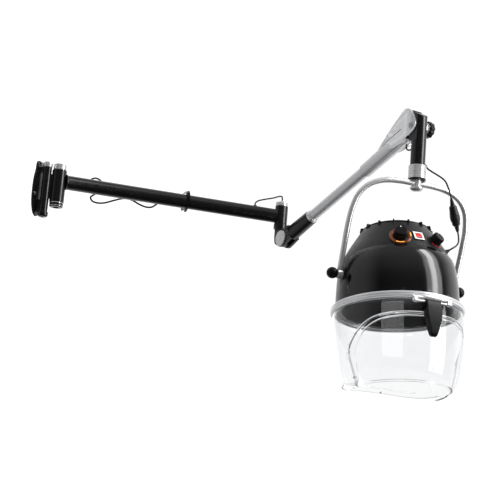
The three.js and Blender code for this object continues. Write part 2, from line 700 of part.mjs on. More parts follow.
function ventCap() {
  const wall = lathe([
    [80, 226.3], [96, 226.3], [96, 231], [90, 234], [50, 238], [0, 240],
    [0, 237], [50, 235], [80, 231],
  ], 30);
  const ribs = aroundTop(() => block([93, -1.8, 226.3], [103, 1.8, 234]), 0.625);
  const slots = aroundTop(() => block([36, -3.5, 220], [78, 3.5, 250]), 0.125);
  return cut(join(wall, ...ribs), ...slots);
}

function innerBowl() {
  const dome = [[159, -3.4], [156, 48], [142, 87], [112, 110], [60, 121], [0, 123]];
  const wall = latheWall(dome, 2.5, SMOOTH);
  const lip = lathe([[154, -3.4], [171.6, -3.4], [171.6, -5.9], [154, -5.9]], SIDES);
  const ring = (radius, count, hole) =>
    Array.from({ length: count }, (_, i) =>
      rod(hole, 60, 140, "z", 6).translate(radius, 0, 0).rotateZ((i * 2 * Math.PI) / count),
    );
  return cut(join(wall, lip), ...ring(100, 6, 7), rod(6, 60, 140, "z", 8));
}

add(hood, "hood_shell", glossBlack, hoodShell());
add(hood, "trim_ring", silver, trimRing());
add(hood, "vent_cap", darkPlastic, ventCap());
add(hood, "inner_bowl", darkPlastic, innerBowl());

// ---- Hood: clear skirt and lifting visor ---------------------------------------------------
const SKIRT_LINE = [
  [175.8, -6.4], [175.8, -15.5], [179, -19], [177.6, -64], [169, -136], [155, -200], [130, -VISOR_DROP],
];
const ARCH = [
  [0, -54], [60, -54.5], [100, -56], [130, -61.5], [150, -74], [162, -92], [170, -125],
  [176, -270],
];
const NAPE = [[0, -196], [40, -199], [80, -207], [112, -215], [132, -224], [150, -245]];
const OPENING_X = 40; // the face opening is cut in front of this plane

function clearWall() {
  return latheWall(SKIRT_LINE.slice().reverse(), 3, SIDES);
}

function archSolid(inset, fromX) {
  const half = ARCH.map(([y, z]) => [Math.max(0, y - inset), z - inset]);
  const shape = smoothMirrored(half, 14);
  return slabYZ(shape, fromX, 220);
}

function visorSkirt() {
  const nape = slabYZ(smoothMirrored(NAPE), -220, -30);
  return cut(clearWall(), archSolid(0, OPENING_X), nape);
}

function visorDoor() {
  const front = common(clearWall(), archSolid(1.2, OPENING_X + 1.5));
  return cut(front, block([0, -200, -260], [220, 200, -229]));
}

const VISOR_PIN = { x: 187, z: -27, r: 3 };

// Two clips under the ring with the hinge pin between them.
function visorHinge() {
  const plates = [28, -60].map((y) => block([180, y, -18], [190, y + 32, -RING_HEIGHT - GAP]));
  const lugs = [46, -56].map((y) => block([182, y, -32], [191, y + 10, -16]));
  const pin = rod(VISOR_PIN.r, -60, 60, "y", ROUND).translate(VISOR_PIN.x, 0, VISOR_PIN.z);
  return join(pin, ...plates, ...lugs);
}

function visorHandle() {
  const side = new THREE.Shape();
  side.moveTo(VISOR_PIN.x, VISOR_PIN.z + 7.6);
  side.quadraticCurveTo(196, -20, 198.5, -30);
  side.quadraticCurveTo(206, -66, 200, -108);
  side.quadraticCurveTo(197, -121, 188, -122);
  side.lineTo(182, -117);
  side.lineTo(178, -96);
  side.lineTo(178, -60);
  side.lineTo(179.4, -42);
  side.lineTo(179.4, VISOR_PIN.z);
  side.quadraticCurveTo(180, -20.5, VISOR_PIN.x, VISOR_PIN.z + 7.6);
  const grip = slabXZ(side, -24, 24, 5);
  const front = slabYZ(mirrored([[0, -10], [22, -10], [22, -62], [8, -124], [0, -124]]), 170, 220);
  const bore = rod(VISOR_PIN.r + 0.4, -40, 40, "y", ROUND).translate(VISOR_PIN.x, 0, VISOR_PIN.z);
  return cut(common(grip, front), bore);
}

add(hood, "visor_skirt", clear, visorSkirt());
add(hood, "visor_door", clear, visorDoor());
add(hood, "visor_hinge", chrome, visorHinge());
add(hood, "visor_handle", darkPlastic, visorHandle());

// ---- Hood: clamps and controls -------------------------------------------------------------
function ballKnob() {
  const stud = rod(3.9, 162, 190, "y", ROUND);
  const sphere = new THREE.SphereGeometry(16, 12, 8).translate(0, 201, 0);
  const ball = cut(sphere, block([-20, 180, -20], [20, 188.6, 20]));
  return join(stud, ball).translate(0, 0, PIVOT_Z);
}

function controlKnob(radius, length) {
  const skirt = rod(radius + 2.5, 1.6, 5, "x", SMOOTH);
  const body = rod(radius, 4.5, length, "x", SMOOTH, radius - 1.5);
  const pointer = block([4, -1.2, radius - 4], [length + 1, 1.2, radius + 1]);
  return join(rod(3, -12, 3, "x", 12), skirt, body, pointer);
}

function glowRing() {
  const ring = lathe([[22.4, 1.4], [31, 1.4], [30, 4.4], [22.4, 4.4]], 36);
  return ring.rotateY(Math.PI / 2);
}

function rockerKey() {
  const side = polygon([[-1.5, -8], [-1.5, 8], [2.6, 8.6], [1.6, 0], [4.4, -8.6]]);
  return slabXZ(side, -9.3, 9.3);
}

function rockerBezel() {
  const plate = block([1.4, -14.5, -14.5], [2.8, 14.5, 14.5]);
  const well = block([-4.6, -12, -12], [2, 12, 12]);
  return cut(join(plate, well), block([-4, -9.6, -10.4], [4, 9.6, 10.4]), block([-6, -3, -3], [0, 3, 3]));
}

add(hood, "left_ball_knob", darkPlastic, ballKnob());
const rightBall = ballKnob().translate(0, 0, -PIVOT_Z).rotateZ(Math.PI).translate(0, 0, PIVOT_Z);
add(hood, "right_ball_knob", darkPlastic, rightBall);
add(hood, "timer_knob", darkPlastic, onShell(controlKnob(18.5, 24), CONTROLS.timer));
add(hood, "timer_glow_ring", amber, onShell(glowRing(), CONTROLS.timer));
add(hood, "thermostat_knob", darkPlastic, onShell(controlKnob(17, 24), CONTROLS.thermostat));
add(hood, "rocker_bezel", white, onShell(rockerBezel(), CONTROLS.rocker));
add(hood, "power_rocker", red, onShell(rockerKey(), CONTROLS.rocker));

// ---- Hood: blower and heater ---------------------------------------------------------------
function blowerMotor() {
  const arms = [0, 1, 2].map((i) =>
    block([20, -6, 124], [72, 6, 127]).rotateZ((i * 2 * Math.PI) / 3),
  );
  const body = cut(rod(34, 124, 172, "z", SMOOTH), rod(4.4, 140, 180, "z", ROUND));
  return join(body, ...arms);
}

function impeller() {
  const blades = Array.from({ length: 6 }, (_, i) =>
    block([34, -1, 186], [68, 1, 214]).rotateZ((i * Math.PI) / 3),
  );
  const disc = [
    [0, 176], [14, 176], [14, 184], [70, 184], [70, 187], [12, 187], [9, 200], [0, 200],
  ];
  const plate = lathe(disc, 32);
  return join(plate, rod(4, 145, 178, "z", ROUND), ...blades);
}

function heatingElement() {
  const coil = new THREE.TorusGeometry(96, 6, 6, 20).translate(0, 0, 142);
  const posts = [0, 1, 2].map((i) =>
    rod(4, 116.5, 140, "z", 10).translate(96, 0, 0).rotateZ(((i + 0.5) * 2 * Math.PI) / 3),
  );
  return join(coil, ...posts);
}

add(hood, "blower_motor", steel, blowerMotor());
add(hood, "fan_impeller", white, impeller());
add(hood, "heating_element", steel, heatingElement());

// ---- Leads between column, connector and hood ----------------------------------------------
const LEAD_GLAND = { turn: 58, z: 166, r: 136.6, rise: 30 };
const hoodGland = join(rod(7, 1.2, 4, "x", 12), rod(5.5, 3, 12, "x", 12, 3));
add(hood, "hood_lead_gland", rubber, onShell(hoodGland, LEAD_GLAND));

dryer.updateMatrixWorld(true);

// A point of one frame, in another frame's numbers.
function carry(point, from, to) {
  return to.worldToLocal(from.localToWorld(new THREE.Vector3(...point))).toArray();
}

// A point on the axis of the hood's gland, in the hood's frame.
function alongGland(distance) {
  const line = new THREE.BufferGeometry().setFromPoints([new THREE.Vector3(distance, 0, 0)]);
  return [...onShell(line, LEAD_GLAND).getAttribute("position").array];
}

// A point on the connector's axis, beyond one of its ends.
function beyond(end, other, distance) {
  const tip = new THREE.Vector3(...CONNECTOR[end]);
  const away = tip.clone().sub(new THREE.Vector3(...CONNECTOR[other])).normalize();
  return tip.addScaledVector(away, distance).toArray();
}

const lowerRoute = [
  carry(alongGland(12.3), hood, bow),
  carry(alongGland(20), hood, bow),
  [30, 146, -148],
  [17, 157, -136],
  beyond("from", "to", 9),
  beyond("from", "to", GAP + 0.1),
];
const upperRoute = [
  beyond("to", "from", GAP + 0.1),
  beyond("to", "from", 12),
  [15, 92, 6],
  [15, 76, 24],
  carry([COLUMN_AHEAD, COLUMN_R + 16, COLUMN_FOOT + 1], head, bow),
  carry([COLUMN_AHEAD, COLUMN_R + 8, COLUMN_FOOT + 9], head, bow),
  carry([COLUMN_AHEAD, COLUMN_R + 0.5, COLUMN_FOOT + 10], head, bow),
];
add(bow, "jumper_lead_lower", rubber, alongPoints(lowerRoute, JUMPER_R, 12));
add(bow, "jumper_lead_upper", rubber, alongPoints(upperRoute, JUMPER_R, 16));

export default dryer;
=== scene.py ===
from math import cos, hypot, pi, radians, sin

import bmesh
import bpy
from mathutils import Matrix, Vector


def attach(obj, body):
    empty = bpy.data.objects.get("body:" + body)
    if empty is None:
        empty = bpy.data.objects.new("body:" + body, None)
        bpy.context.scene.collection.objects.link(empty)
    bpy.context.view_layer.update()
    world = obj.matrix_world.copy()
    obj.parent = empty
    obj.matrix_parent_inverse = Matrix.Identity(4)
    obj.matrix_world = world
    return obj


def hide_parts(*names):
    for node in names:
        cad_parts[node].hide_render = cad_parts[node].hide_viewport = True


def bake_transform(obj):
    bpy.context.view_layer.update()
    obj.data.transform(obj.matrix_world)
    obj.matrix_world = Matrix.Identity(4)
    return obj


# Studio scene of a wall-mounted hood hair dryer. Shapes are drawn in millimetres in the frame
# of the joint that they hang from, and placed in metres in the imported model's frame.
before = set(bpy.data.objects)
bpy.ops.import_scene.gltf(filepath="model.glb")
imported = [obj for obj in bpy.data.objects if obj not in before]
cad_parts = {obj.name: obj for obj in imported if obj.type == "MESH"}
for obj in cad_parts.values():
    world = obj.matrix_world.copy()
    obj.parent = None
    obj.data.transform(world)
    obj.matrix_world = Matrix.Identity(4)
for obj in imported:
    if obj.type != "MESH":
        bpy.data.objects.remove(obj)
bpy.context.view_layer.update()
MM = 0.001
TO_METRES = Matrix.Scale(MM, 4)

# ---- Camera: angles in degrees, distance and target in metres, lens in millimetres 
CAMERA_TURN = 22.136
CAMERA_RISE = -11.747
CAMERA_ROLL = 4.542
CAMERA_DISTANCE = 3.8795
CAMERA_TARGET = Vector((0.6052, 0.2429, -0.1650))
CAMERA_LENS = 93.6
CAMERA_SENSOR = 36
CAMERA_REACH = 50


def add_camera():
    """Looks up at the object from its right, with a slight roll."""
    turn, rise, roll = (radians(a) for a in (CAMERA_TURN, CAMERA_RISE, CAMERA_ROLL))
    back = Vector((sin(turn) * cos(rise), -cos(turn) * cos(rise), sin(rise)))
    right = (-back).cross(Vector((0, 0, 1))).normalized()
    up = right.cross(-back)
    across = cos(roll) * right + sin(roll) * up
    upward = cos(roll) * up - sin(roll) * right
    camera = bpy.data.objects.new("camera", bpy.data.cameras.new("camera"))
    camera.data.lens = CAMERA_LENS
    camera.data.sensor_width = CAMERA_SENSOR
    camera.data.clip_end = CAMERA_REACH
    axes = Matrix((across, upward, back)).transposed().to_4x4()
    camera.matrix_world = Matrix.Translation(CAMERA_TARGET + CAMERA_DISTANCE * back) @ axes
    bpy.context.scene.collection.objects.link(camera)
    bpy.context.scene.camera = camera


add_camera()


# ---- Frames of the joints, in millimetres ------------------------------
def moved(x, y, z):
    return Matrix.Translation((x, y, z))


def turned(axis, degrees):
    return Matrix.Rotation(radians(degrees), 4, axis)


SWIVEL_X = 28  # wall pin, out from the wall
BARREL_X = 37  # first arm's barrel, out from the wall pin
ELBOW_X = 757  # elbow, out from the wall pin
HEAD_X = 655  # arm head's bolt, out from the elbow's pivot
ARM_RISE = 21.5  # slope of the second arm
YOKE_DROP = 168  # yoke's crossing, below the arm head's bolt
PIVOT_DROP = 281  # hood's side pivots, below the yoke's crossing
PIVOT_RISE = 80  # hood's side pivots, above the rim of its shell

WALL = Matrix()
SWIVEL = moved(SWIVEL_X, 0, 0)
INNER = SWIVEL @ turned("Z", 41)
ROOT_BARREL = INNER @ moved(BARREL_X, 0, 0)
ELBOW_BARREL = INNER @ moved(ELBOW_X, 0, 0)
ELBOW = ELBOW_BARREL @ turned("Z", -76)
OUTER = ELBOW @ moved(34, 0, -78) @ turned("Y", -ARM_RISE)
HEAD_BOLT = OUTER @ moved(HEAD_X, 0, 0)
HEAD = HEAD_BOLT @ turned("Y", ARM_RISE)
COLUMN = HEAD @ moved(12, 0, 0)
YOKE = COLUMN @ moved(0, 0, -YOKE_DROP) @ turned("Z", -11)
BOW = YOKE @ turned("Y", 17)
HOOD = BOW @ moved(0, 0, -PIVOT_DROP) @ turned("Y", -25) @ moved(0, 0, -PIVOT_RISE)


# ---- Shapes: each is a pair of a vertex list and a face list -----------
def along(axis, point):
    """Turns a point of a shape drawn along Z to lie along another axis."""
    x, y, z = point
    return {"z": (x, y, z), "x": (z, x, y), "y": (y, z, x)}[axis]


def lathe(outline, axis="z", sides=96):
    """A turned shape from its (radius, height) outline; a hollow one closes on itself."""
    verts, rings = [], []
    for r, z in outline:
        count = 1 if r == 0 else sides
        rings.append([len(verts) + i for i in range(count)])
        for i in range(count):
            angle = 2 * pi * i / sides
            verts.append(along(axis, (r * cos(angle), r * sin(angle), z)))
    pairs = list(zip(rings, rings[1:]))
    if outline[0][0] > 0 or outline[-1][0] > 0:
        pairs.append((rings[-1], rings[0]))
    faces = []
    for a, b in pairs:
        for i in range(sides):
            j = (i + 1) % sides
            corners = [a[i % len(a)], a[j % len(a)], b[j % len(b)], b[i % len(b)]]
            face = list(dict.fromkeys(corners))
            if len(face) > 2:
                faces.append(face)
    return verts, faces


def rod(radius, low, high, axis="z", sides=64, end=None):
    """A round rod, tapered where end gives another radius at its far end."""
    end = radius if end is None else end
    return lathe([(0, low), (radius, low), (end, high), (0, high)], axis, sides)


def prism(outline, low, high, axis):
    """An outline with a thickness: XZ outlines along y, YZ outlines along x, XY along z."""
    count = len(outline)
    place = {
        "y": lambda p, t: (p[0], t, p[1]),
        "x": lambda p, t: (t, p[0], p[1]),
        "z": lambda p, t: (p[0], p[1], t),
    }[axis]
    verts = [place(p, t) for t in (low, high) for p in outline]
    faces = [list(range(count)), list(range(2 * count - 1, count - 1, -1))]
    for i in range(count):
        j = (i + 1) % count
        faces.append([i, j, count + j, count + i])
    return verts, faces


def block(low, high):
    x0, y0, z0 = low
    x1, y1, z1 = high
    return prism([(x0, y0), (x1, y0), (x1, y1), (x0, y1)], z0, z1, "z")


def joined(*shapes):
    verts, faces = [], []
    for v, f in shapes:
        faces += [[i + len(verts) for i in face] for face in f]
        verts += v
    return verts, faces


def shifted(shape, matrix):
    verts, faces = shape
    return [tuple(matrix @ Vector(v)) for v in verts], faces


def smooth(points, steps=8, closed=False):
    """A Catmull-Rom line through points of two or three numbers."""
    points = [Vector(p) for p in points]
    if closed:
        padded = [points[-1]] + points + points[:2]
    else:
        first = 2 * points[0] - points[1]
        last = 2 * points[-1] - points[-2]
        padded = [first] + points + [last]
    line = []
    for p0, p1, p2, p3 in zip(padded, padded[1:], padded[2:], padded[3:]):
        k1 = max((p1 - p0).length ** 0.5, 1e-6)
        k2 = max((p2 - p1).length ** 0.5, 1e-6)
        k3 = max((p3 - p2).length ** 0.5, 1e-6)
        m1 = (p1 - p0) / k1 - (p2 - p0) / (k1 + k2) + (p2 - p1) / k2
        m2 = (p2 - p1) / k2 - (p3 - p1) / (k2 + k3) + (p3 - p2) / k3
        for i in range(steps):
            t = i / steps
            h = (2 * t**3 - 3 * t**2 + 1, t**3 - 2 * t**2 + t, 3 * t**2 - 2 * t**3, t**3 - t**2)
            line.append(h[0] * p1 + h[1] * k2 * m1 + h[2] * p2 + h[3] * k2 * m2)
    if not closed:
        line.append(points[-1].copy())
    return [tuple(p) for p in line]


def sweep(points, section, closed=False):
    """A section of (u, v) pairs carried along a line, without twist."""
    line = [Vector(p) for p in points]
    count = len(line)
    tangents = []
    for i in range(count):
        ahead = line[(i + 1) % count] if closed else line[min(i + 1, count - 1)]
        behind = line[i - 1] if closed else line[max(i - 1, 0)]
        tangents.append((ahead - behind).normalized())
    side = tangents[0].orthogonal().normalized()
    verts = []
    for point, tangent in zip(line, tangents):
        side = (side - side.dot(tangent) * tangent).normalized()
        up = tangent.cross(side)
        verts += [tuple(point + u * side + v * up) for u, v in section]
    size = len(section)
    faces = []
    for i in range(count if closed else count - 1):
        a, b = i * size, ((i + 1) % count) * size
        for k in range(size):
            n = (k + 1) % size
            faces.append([a + k, a + n, b + n, b + k])
    if not closed:
        faces.append(list(range(size)))
        faces.append(list(range((count - 1) * size, count * size)))
    return verts, faces


def circle(radius, sides=20):
    turns = [2 * pi * i / sides for i in range(sides)]
    return [(radius * cos(a), radius * sin(a)) for a in turns]


def fluted(radius, depth, flutes, steps):
    """A round outline whose radius waves by depth, once for each flute."""
    turns = [2 * pi * i / (flutes * steps) for i in range(flutes * steps)]
    waves = [(a, radius + depth * cos(flutes * a)) for a in turns]
    return [(r * cos(a), r * sin(a)) for a, r in waves]


def arc(cx, cy, radius, start, end, steps=12):
    turns = [radians(start + (end - start) * i / steps) for i in range(steps + 1)]
    return [(cx + radius * cos(a), cy + radius * sin(a)) for a in turns]


def mirrored(half):
    """A closed outline from the points of its right half, top to bottom."""
    left = [(-y, z) for y, z in reversed(half) if abs(y) > 1e-6]
    return list(half) + left


def right_half(points, steps):
    """A smooth line through (y, z) points, kept on the right of the middle."""
    return [(max(0, y), z) for y, z in smooth(points, steps)]


def both_sides(half):
    """An open line from left to right, from the points of its right half."""
    return [(-y, z) for y, z in reversed(half)] + half[1:]


# ---- Pieces ------------------------------------------------------------
def in_metres(place, point):
    return tuple(TO_METRES @ (place @ Vector(point)))


def mesh_object(name, shape, place):
    mesh = bpy.data.meshes.new(name)
    verts, faces = shape
    mesh.from_pydata([in_metres(place, v) for v in verts], [], faces)
    work = bmesh.new()
    work.from_mesh(mesh)
    bmesh.ops.recalc_face_normals(work, faces=work.faces)
    work.to_mesh(mesh)
    work.free()
    obj = bpy.data.objects.new(name, mesh)
    bpy.context.scene.collection.objects.link(obj)
    return obj


def apply_boolean(obj, tool_shape, place, operation):
    """Joins, cuts or intersects the object with a shape, and keeps only the result."""
    tool = mesh_object("tool", tool_shape, place)
    step = obj.modifiers.new("boolean", "BOOLEAN")
    step.object = tool
    step.operation = operation
    step.solver = "EXACT"
    step.use_self = True
    depsgraph = bpy.context.evaluated_depsgraph_get()
    mesh = bpy.data.meshes.new_from_object(obj.evaluated_get(depsgraph))
    obj.modifiers.remove(step)
    obj.data = mesh
    mesh.name = obj.name
    bpy.data.objects.remove(tool)


def piece(name, shape, place, look, body, nodes=(), bevel=0.0, adds=(), cuts=(), angle=30):
    """Makes one visible piece: joins, cuts, rounded edges, material, body and CAD nodes.

    body is the body it moves with. A lead between two bodies gets (body, body, start, end) instead;
    these four are not used, and the lead only stays where it is drawn."""
    obj = mesh_object(name, shape, place)
    for tool in adds:
        apply_boolean(obj, tool, place, "UNION")
    for tool in cuts:
        apply_boolean(obj, tool, place, "DIFFERENCE")
    obj.data.materials.clear()
    obj.data.materials.append(LOOKS[look])
    for polygon in obj.data.polygons:
        polygon.material_index = 0
    obj.data.shade_smooth()
    if bevel:
        rounding = obj.modifiers.new("rounding", "BEVEL")
        rounding.width = bevel * MM
        rounding.segments = 3
        rounding.limit_method = "ANGLE"
        rounding.angle_limit = radians(angle)
        rounding.harden_normals = False
        normals = obj.modifiers.new("normals", "WEIGHTED_NORMAL")
        normals.keep_sharp = False
    else:
        obj.data.set_sharp_from_angle(angle=radians(angle))
    if isinstance(body, str):
        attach(obj, body)
    else:
        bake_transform(obj)
    if nodes:
        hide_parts(*([nodes] if isinstance(nodes, str) else nodes))
    return obj


def taken(obj, place):
    """The shape of a worked mesh, back in the numbers of its frame; the mesh is removed."""
    back = place.inverted() @ Matrix.Scale(1 / MM, 4)
    verts = [tuple(back @ v.co) for v in obj.data.vertices]
    faces = [list(p.vertices) for p in obj.data.polygons]
    bpy.data.objects.remove(obj)
    return verts, faces


def repaint(node, look):
    """Gives a CAD part that shows as it is one of the scene's materials."""
    obj = bpy.data.objects[node]
    obj.data.materials.clear()
    obj.data.materials.append(LOOKS[look])


# ---- Materials ---------------------------------------------------------
LOOKS = {}
SPECKS = 60  # scale of the speckled colour
SMEARS = 35  # scale of the uneven polish
NOISE_RANGE = (0.3, 0.7)  # where a noise texture's values mostly lie


def look(
    name, color, roughness, metallic=0.0, grain=0.0, grain_size=1.0, blotch=0.0, mottle=0.1, **more
):
    """A plastic, paint or metal: speckled colour, uneven polish and a fine raised grain.

    grain is the height of the grain and grain_size its width, both in millimetres. blotch is
    how far the roughness wanders from its middle, and mottle how far the colour does."""
    material = bpy.data.materials.new(name)
    material.use_nodes = True
    nodes, links = material.node_tree.nodes, material.node_tree.links
    shader = nodes["Principled BSDF"]
    shader.inputs["Metallic"].default_value = metallic
    for socket, value in more.items():
        shader.inputs[socket.replace("_", " ")].default_value = value
    place = nodes.new("ShaderNodeTexCoord")

    def noise(scale, detail):
        texture = nodes.new("ShaderNodeTexNoise")
        texture.inputs["Scale"].default_value = scale
        texture.inputs["Detail"].default_value = detail
        links.new(place.outputs["Object"], texture.inputs["Vector"])
        return texture.outputs["Fac"]

    def spread(fac, low, high):
        span = nodes.new("ShaderNodeMapRange")
        span.inputs["From Min"].default_value = NOISE_RANGE[0]
        span.inputs["From Max"].default_value = NOISE_RANGE[1]
        span.inputs["To Min"].default_value = low
        span.inputs["To Max"].default_value = high
        links.new(fac, span.inputs["Value"])
        return span.outputs["Result"]

    tint = nodes.new("ShaderNodeMix")
    tint.data_type = "RGBA"
    tint.inputs["A"].default_value = (*[(1 - mottle) * c for c in color], 1)
    tint.inputs["B"].default_value = (*[min(1, (1 + mottle) * c) for c in color], 1)
    links.new(spread(noise(SPECKS, 4), 0, 1), tint.inputs["Factor"])
    links.new(tint.outputs["Result"], shader.inputs["Base Color"])
    uneven = spread(noise(SMEARS, 5), max(0.0, roughness - blotch), roughness + blotch)
    links.new(uneven, shader.inputs["Roughness"])
    if grain:
        bump = nodes.new("ShaderNodeBump")
        bump.inputs["Strength"].default_value = 1.0
        bump.inputs["Distance"].default_value = grain * MM
        links.new(noise(1000 / grain_size, 3), bump.inputs["Height"])
        links.new(bump.outputs["Normal"], shader.inputs["Normal"])
    LOOKS[name] = material


look("black_paint", (0.006, 0.006, 0.0065), 0.22, grain=0.004, grain_size=1.4, blotch=0.04)
look("gloss_black", (0.003, 0.003, 0.0033), 0.12, grain=0.002, grain_size=5, blotch=0.02)
look("satin_black", (0.008, 0.008, 0.0085), 0.36, grain=0.006, grain_size=0.8, blotch=0.05,
     Specular_IOR_Level=0.3)
look("dark_plastic", (0.004, 0.004, 0.0043), 0.28, grain=0.008, grain_size=0.8, blotch=0.05,
     Specular_IOR_Level=0.14)
look("bowl_black", (0.012, 0.012, 0.013), 0.2, grain=0.004, grain_size=1, blotch=0.04)
look("chrome", (0.66, 0.66, 0.675), 0.24, metallic=0.65, blotch=0.03, grain=0.001, grain_size=3,
     mottle=0.02)
look("silver", (0.68, 0.685, 0.7), 0.34, metallic=0.6, grain=0.003, grain_size=0.6, blotch=0.03,
     mottle=0.02)
look("steel", (0.42, 0.42, 0.44), 0.34, metallic=1.0, grain=0.004, grain_size=0.8, blotch=0.06)
look("cord_rubber", (0.006, 0.006, 0.006), 0.45, grain=0.008, grain_size=0.7, blotch=0.06)
look("white", (0.78, 0.78, 0.76), 0.35, grain=0.006, grain_size=0.7, blotch=0.05, mottle=0.03)
look("brass", (0.72, 0.55, 0.27), 0.24, metallic=1.0, grain=0.002, grain_size=1, blotch=0.06)
look("red", (0.55, 0.01, 0.01), 0.2, grain=0.003, blotch=0.04, Coat_Weight=0.5)
look("dim_amber", (0.06, 0.014, 0.002), 0.2, grain=0.004, blotch=0.05,
     Emission_Color=(0.9, 0.2, 0.03, 1), Emission_Strength=0.1)
# amber glows brightly: it paints the glints on the timer ring.
look("amber", (0.85, 0.36, 0.04), 0.25, grain=0.004, blotch=0.05,
     Emission_Color=(1.0, 0.5, 0.1, 1), Emission_Strength=1.3)
look("clear_plastic", (0.97, 0.975, 0.98), 0.012, grain=0.0006, grain_size=30, blotch=0.004,
     mottle=0.008, Transmission_Weight=1.0, IOR=1.38)


# ---- Mains lead: free stretch, five turns of hank, tail ----------------
LEAD_R = 2.75
GLAND_X = 120
HANK_X = 372
HANK_RUN = 100
HANK_FOLD = 16.5
HANK_TURNS = 5
HANK_Z = 10
HANK_BACK = 25  # the hank's near side, behind the arm's middle
HANK_Y = HANK_BACK + LEAD_R
HANK_END = HANK_X + HANK_RUN + 2 * (HANK_FOLD + LEAD_R)
TAIL_Y = HANK_Y + 2 * LEAD_R * (HANK_TURNS - 1)
PLUG_X = HANK_END + 14.3
SHORT_LEAD_R = 2.4
FREE_LEAD = [
    (GLAND_X, 39.6, 0), (GLAND_X, 48, 0), (127, 58, 14), (141, 56, 32), (158, 50, 41),
    (175, 46, 34), (181, 44, 17), (174, 44, -2), (158, 42, -13), (147, 40, -24),
    (153, 38, -35), (170, 36, -39), (192, 36, -35), (222, 38, -22), (252, 40, -11),
    (276, 40, -12), (300, 38, -22), (322, 36, -28), (340, 35, -26), (352, 34, -17),
    (362, 30, -9), (377.4, 28.2, -6.5),
]


def short_lead(points, steps):
    return sweep(smooth(points, steps), circle(SHORT_LEAD_R))


def hank_line():
    """The lead's line round the hank, each turn lying beside the last."""
    near = HANK_X + HANK_FOLD + LEAD_R
    far = near + HANK_RUN
    lap = [(near + t * HANK_RUN, HANK_Z - HANK_FOLD) for t in (0, 0.25, 0.5, 0.75)]
    lap += arc(far, HANK_Z, HANK_FOLD, -90, 90, 10)
    lap += [(far - t * HANK_RUN, HANK_Z + HANK_FOLD) for t in (0.25, 0.5, 0.75)]
    lap += arc(near, HANK_Z, HANK_FOLD, 90, 260, 10)
    line = []
    for turn in range(HANK_TURNS):
        for i, (x, z) in enumerate(lap):
            step = min(turn + i / len(lap), HANK_TURNS - 1)
            line.append((x, HANK_Y + 2 * LEAD_R * step, z))
    return line


def lead_line():
    last = [
        (HANK_X + 30, TAIL_Y, -5.6), (HANK_X + 62, TAIL_Y, -4), (HANK_X + 84, TAIL_Y, 0),
        (HANK_X + 108, TAIL_Y, 7), (HANK_END - 6, TAIL_Y, HANK_Z), (HANK_END + 14, TAIL_Y, HANK_Z),
    ]
    return smooth(FREE_LEAD, 5) + smooth(hank_line() + last, 2)


def add_mains_lead():
    line = lead_line()
    lead = piece("mains_lead_whole", sweep(line, circle(LEAD_R, 12)), INNER, "cord_rubber",
                 "inner_arm", ("mains_lead", "mains_hank", "mains_lead_tail"))
    plug = add_plug()
    tie = add_tie()


def add_plug():
    """A two-pin plug with a ribbed grip and a tapered strain relief."""
    place = INNER @ moved(PLUG_X, TAIL_Y, HANK_Z)
    relief = [(0, 0), (4.4, 0)]
    for i in range(5):
        x = 2 + 5 * i
        relief += [(4.4 + 0.6 * i, x), (4.6 + 0.6 * i, x + 3), (3.8 + 0.6 * i, x + 3.2)]
        relief += [(3.9 + 0.6 * i, x + 4.8)]
    relief += [(8, 28), (13, 30), (14, 33), (14.2, 40), (13.2, 42), (15.2, 45), (16.8, 50)]
    relief += [(17, 61), (16, 62), (0, 62)]
    body = piece("plug_body", lathe(relief, "x", 40), place, "cord_rubber", "inner_arm",
                 "mains_plug", 0.4)
    pins = [shifted(rod(2.4, 61, 80.5, "x", 24, 2.2), moved(0, y, 0)) for y in (-9.5, 9.5)]
    piece("plug_pins", joined(*pins), place, "brass", "inner_arm", (), 0.5)
    return body


def add_tie():
    """A soft strap round the arm and the hank, with a small buckle."""
    far = HANK_BACK + HANK_TURNS * 2 * LEAD_R + 1
    loop = [
        (-24.2, -8), (-24.2, 10), (-15, 25.5), (8, 31.5), (far, 32.4), (far + 0.6, 12),
        (far, -10.6), (22, -17), (12, -24.6), (-12, -24.6),
    ]
    line = [(HANK_X + 67, y, z) for y, z in smooth(loop, 5, closed=True)]
    band = [(-0.5, -6.5), (-0.5, 6.5), (0.7, 6.5), (0.7, -6.5)]
    strap = sweep(line, band, closed=True)
    buckle = block((HANK_X + 59.5, far - 0.4, 4), (HANK_X + 74.5, far + 3.2, 15))
    return piece("hank_strap", joined(strap, buckle), INNER, "dark_plastic", "inner_arm",
                 "hank_tie", 0.3)


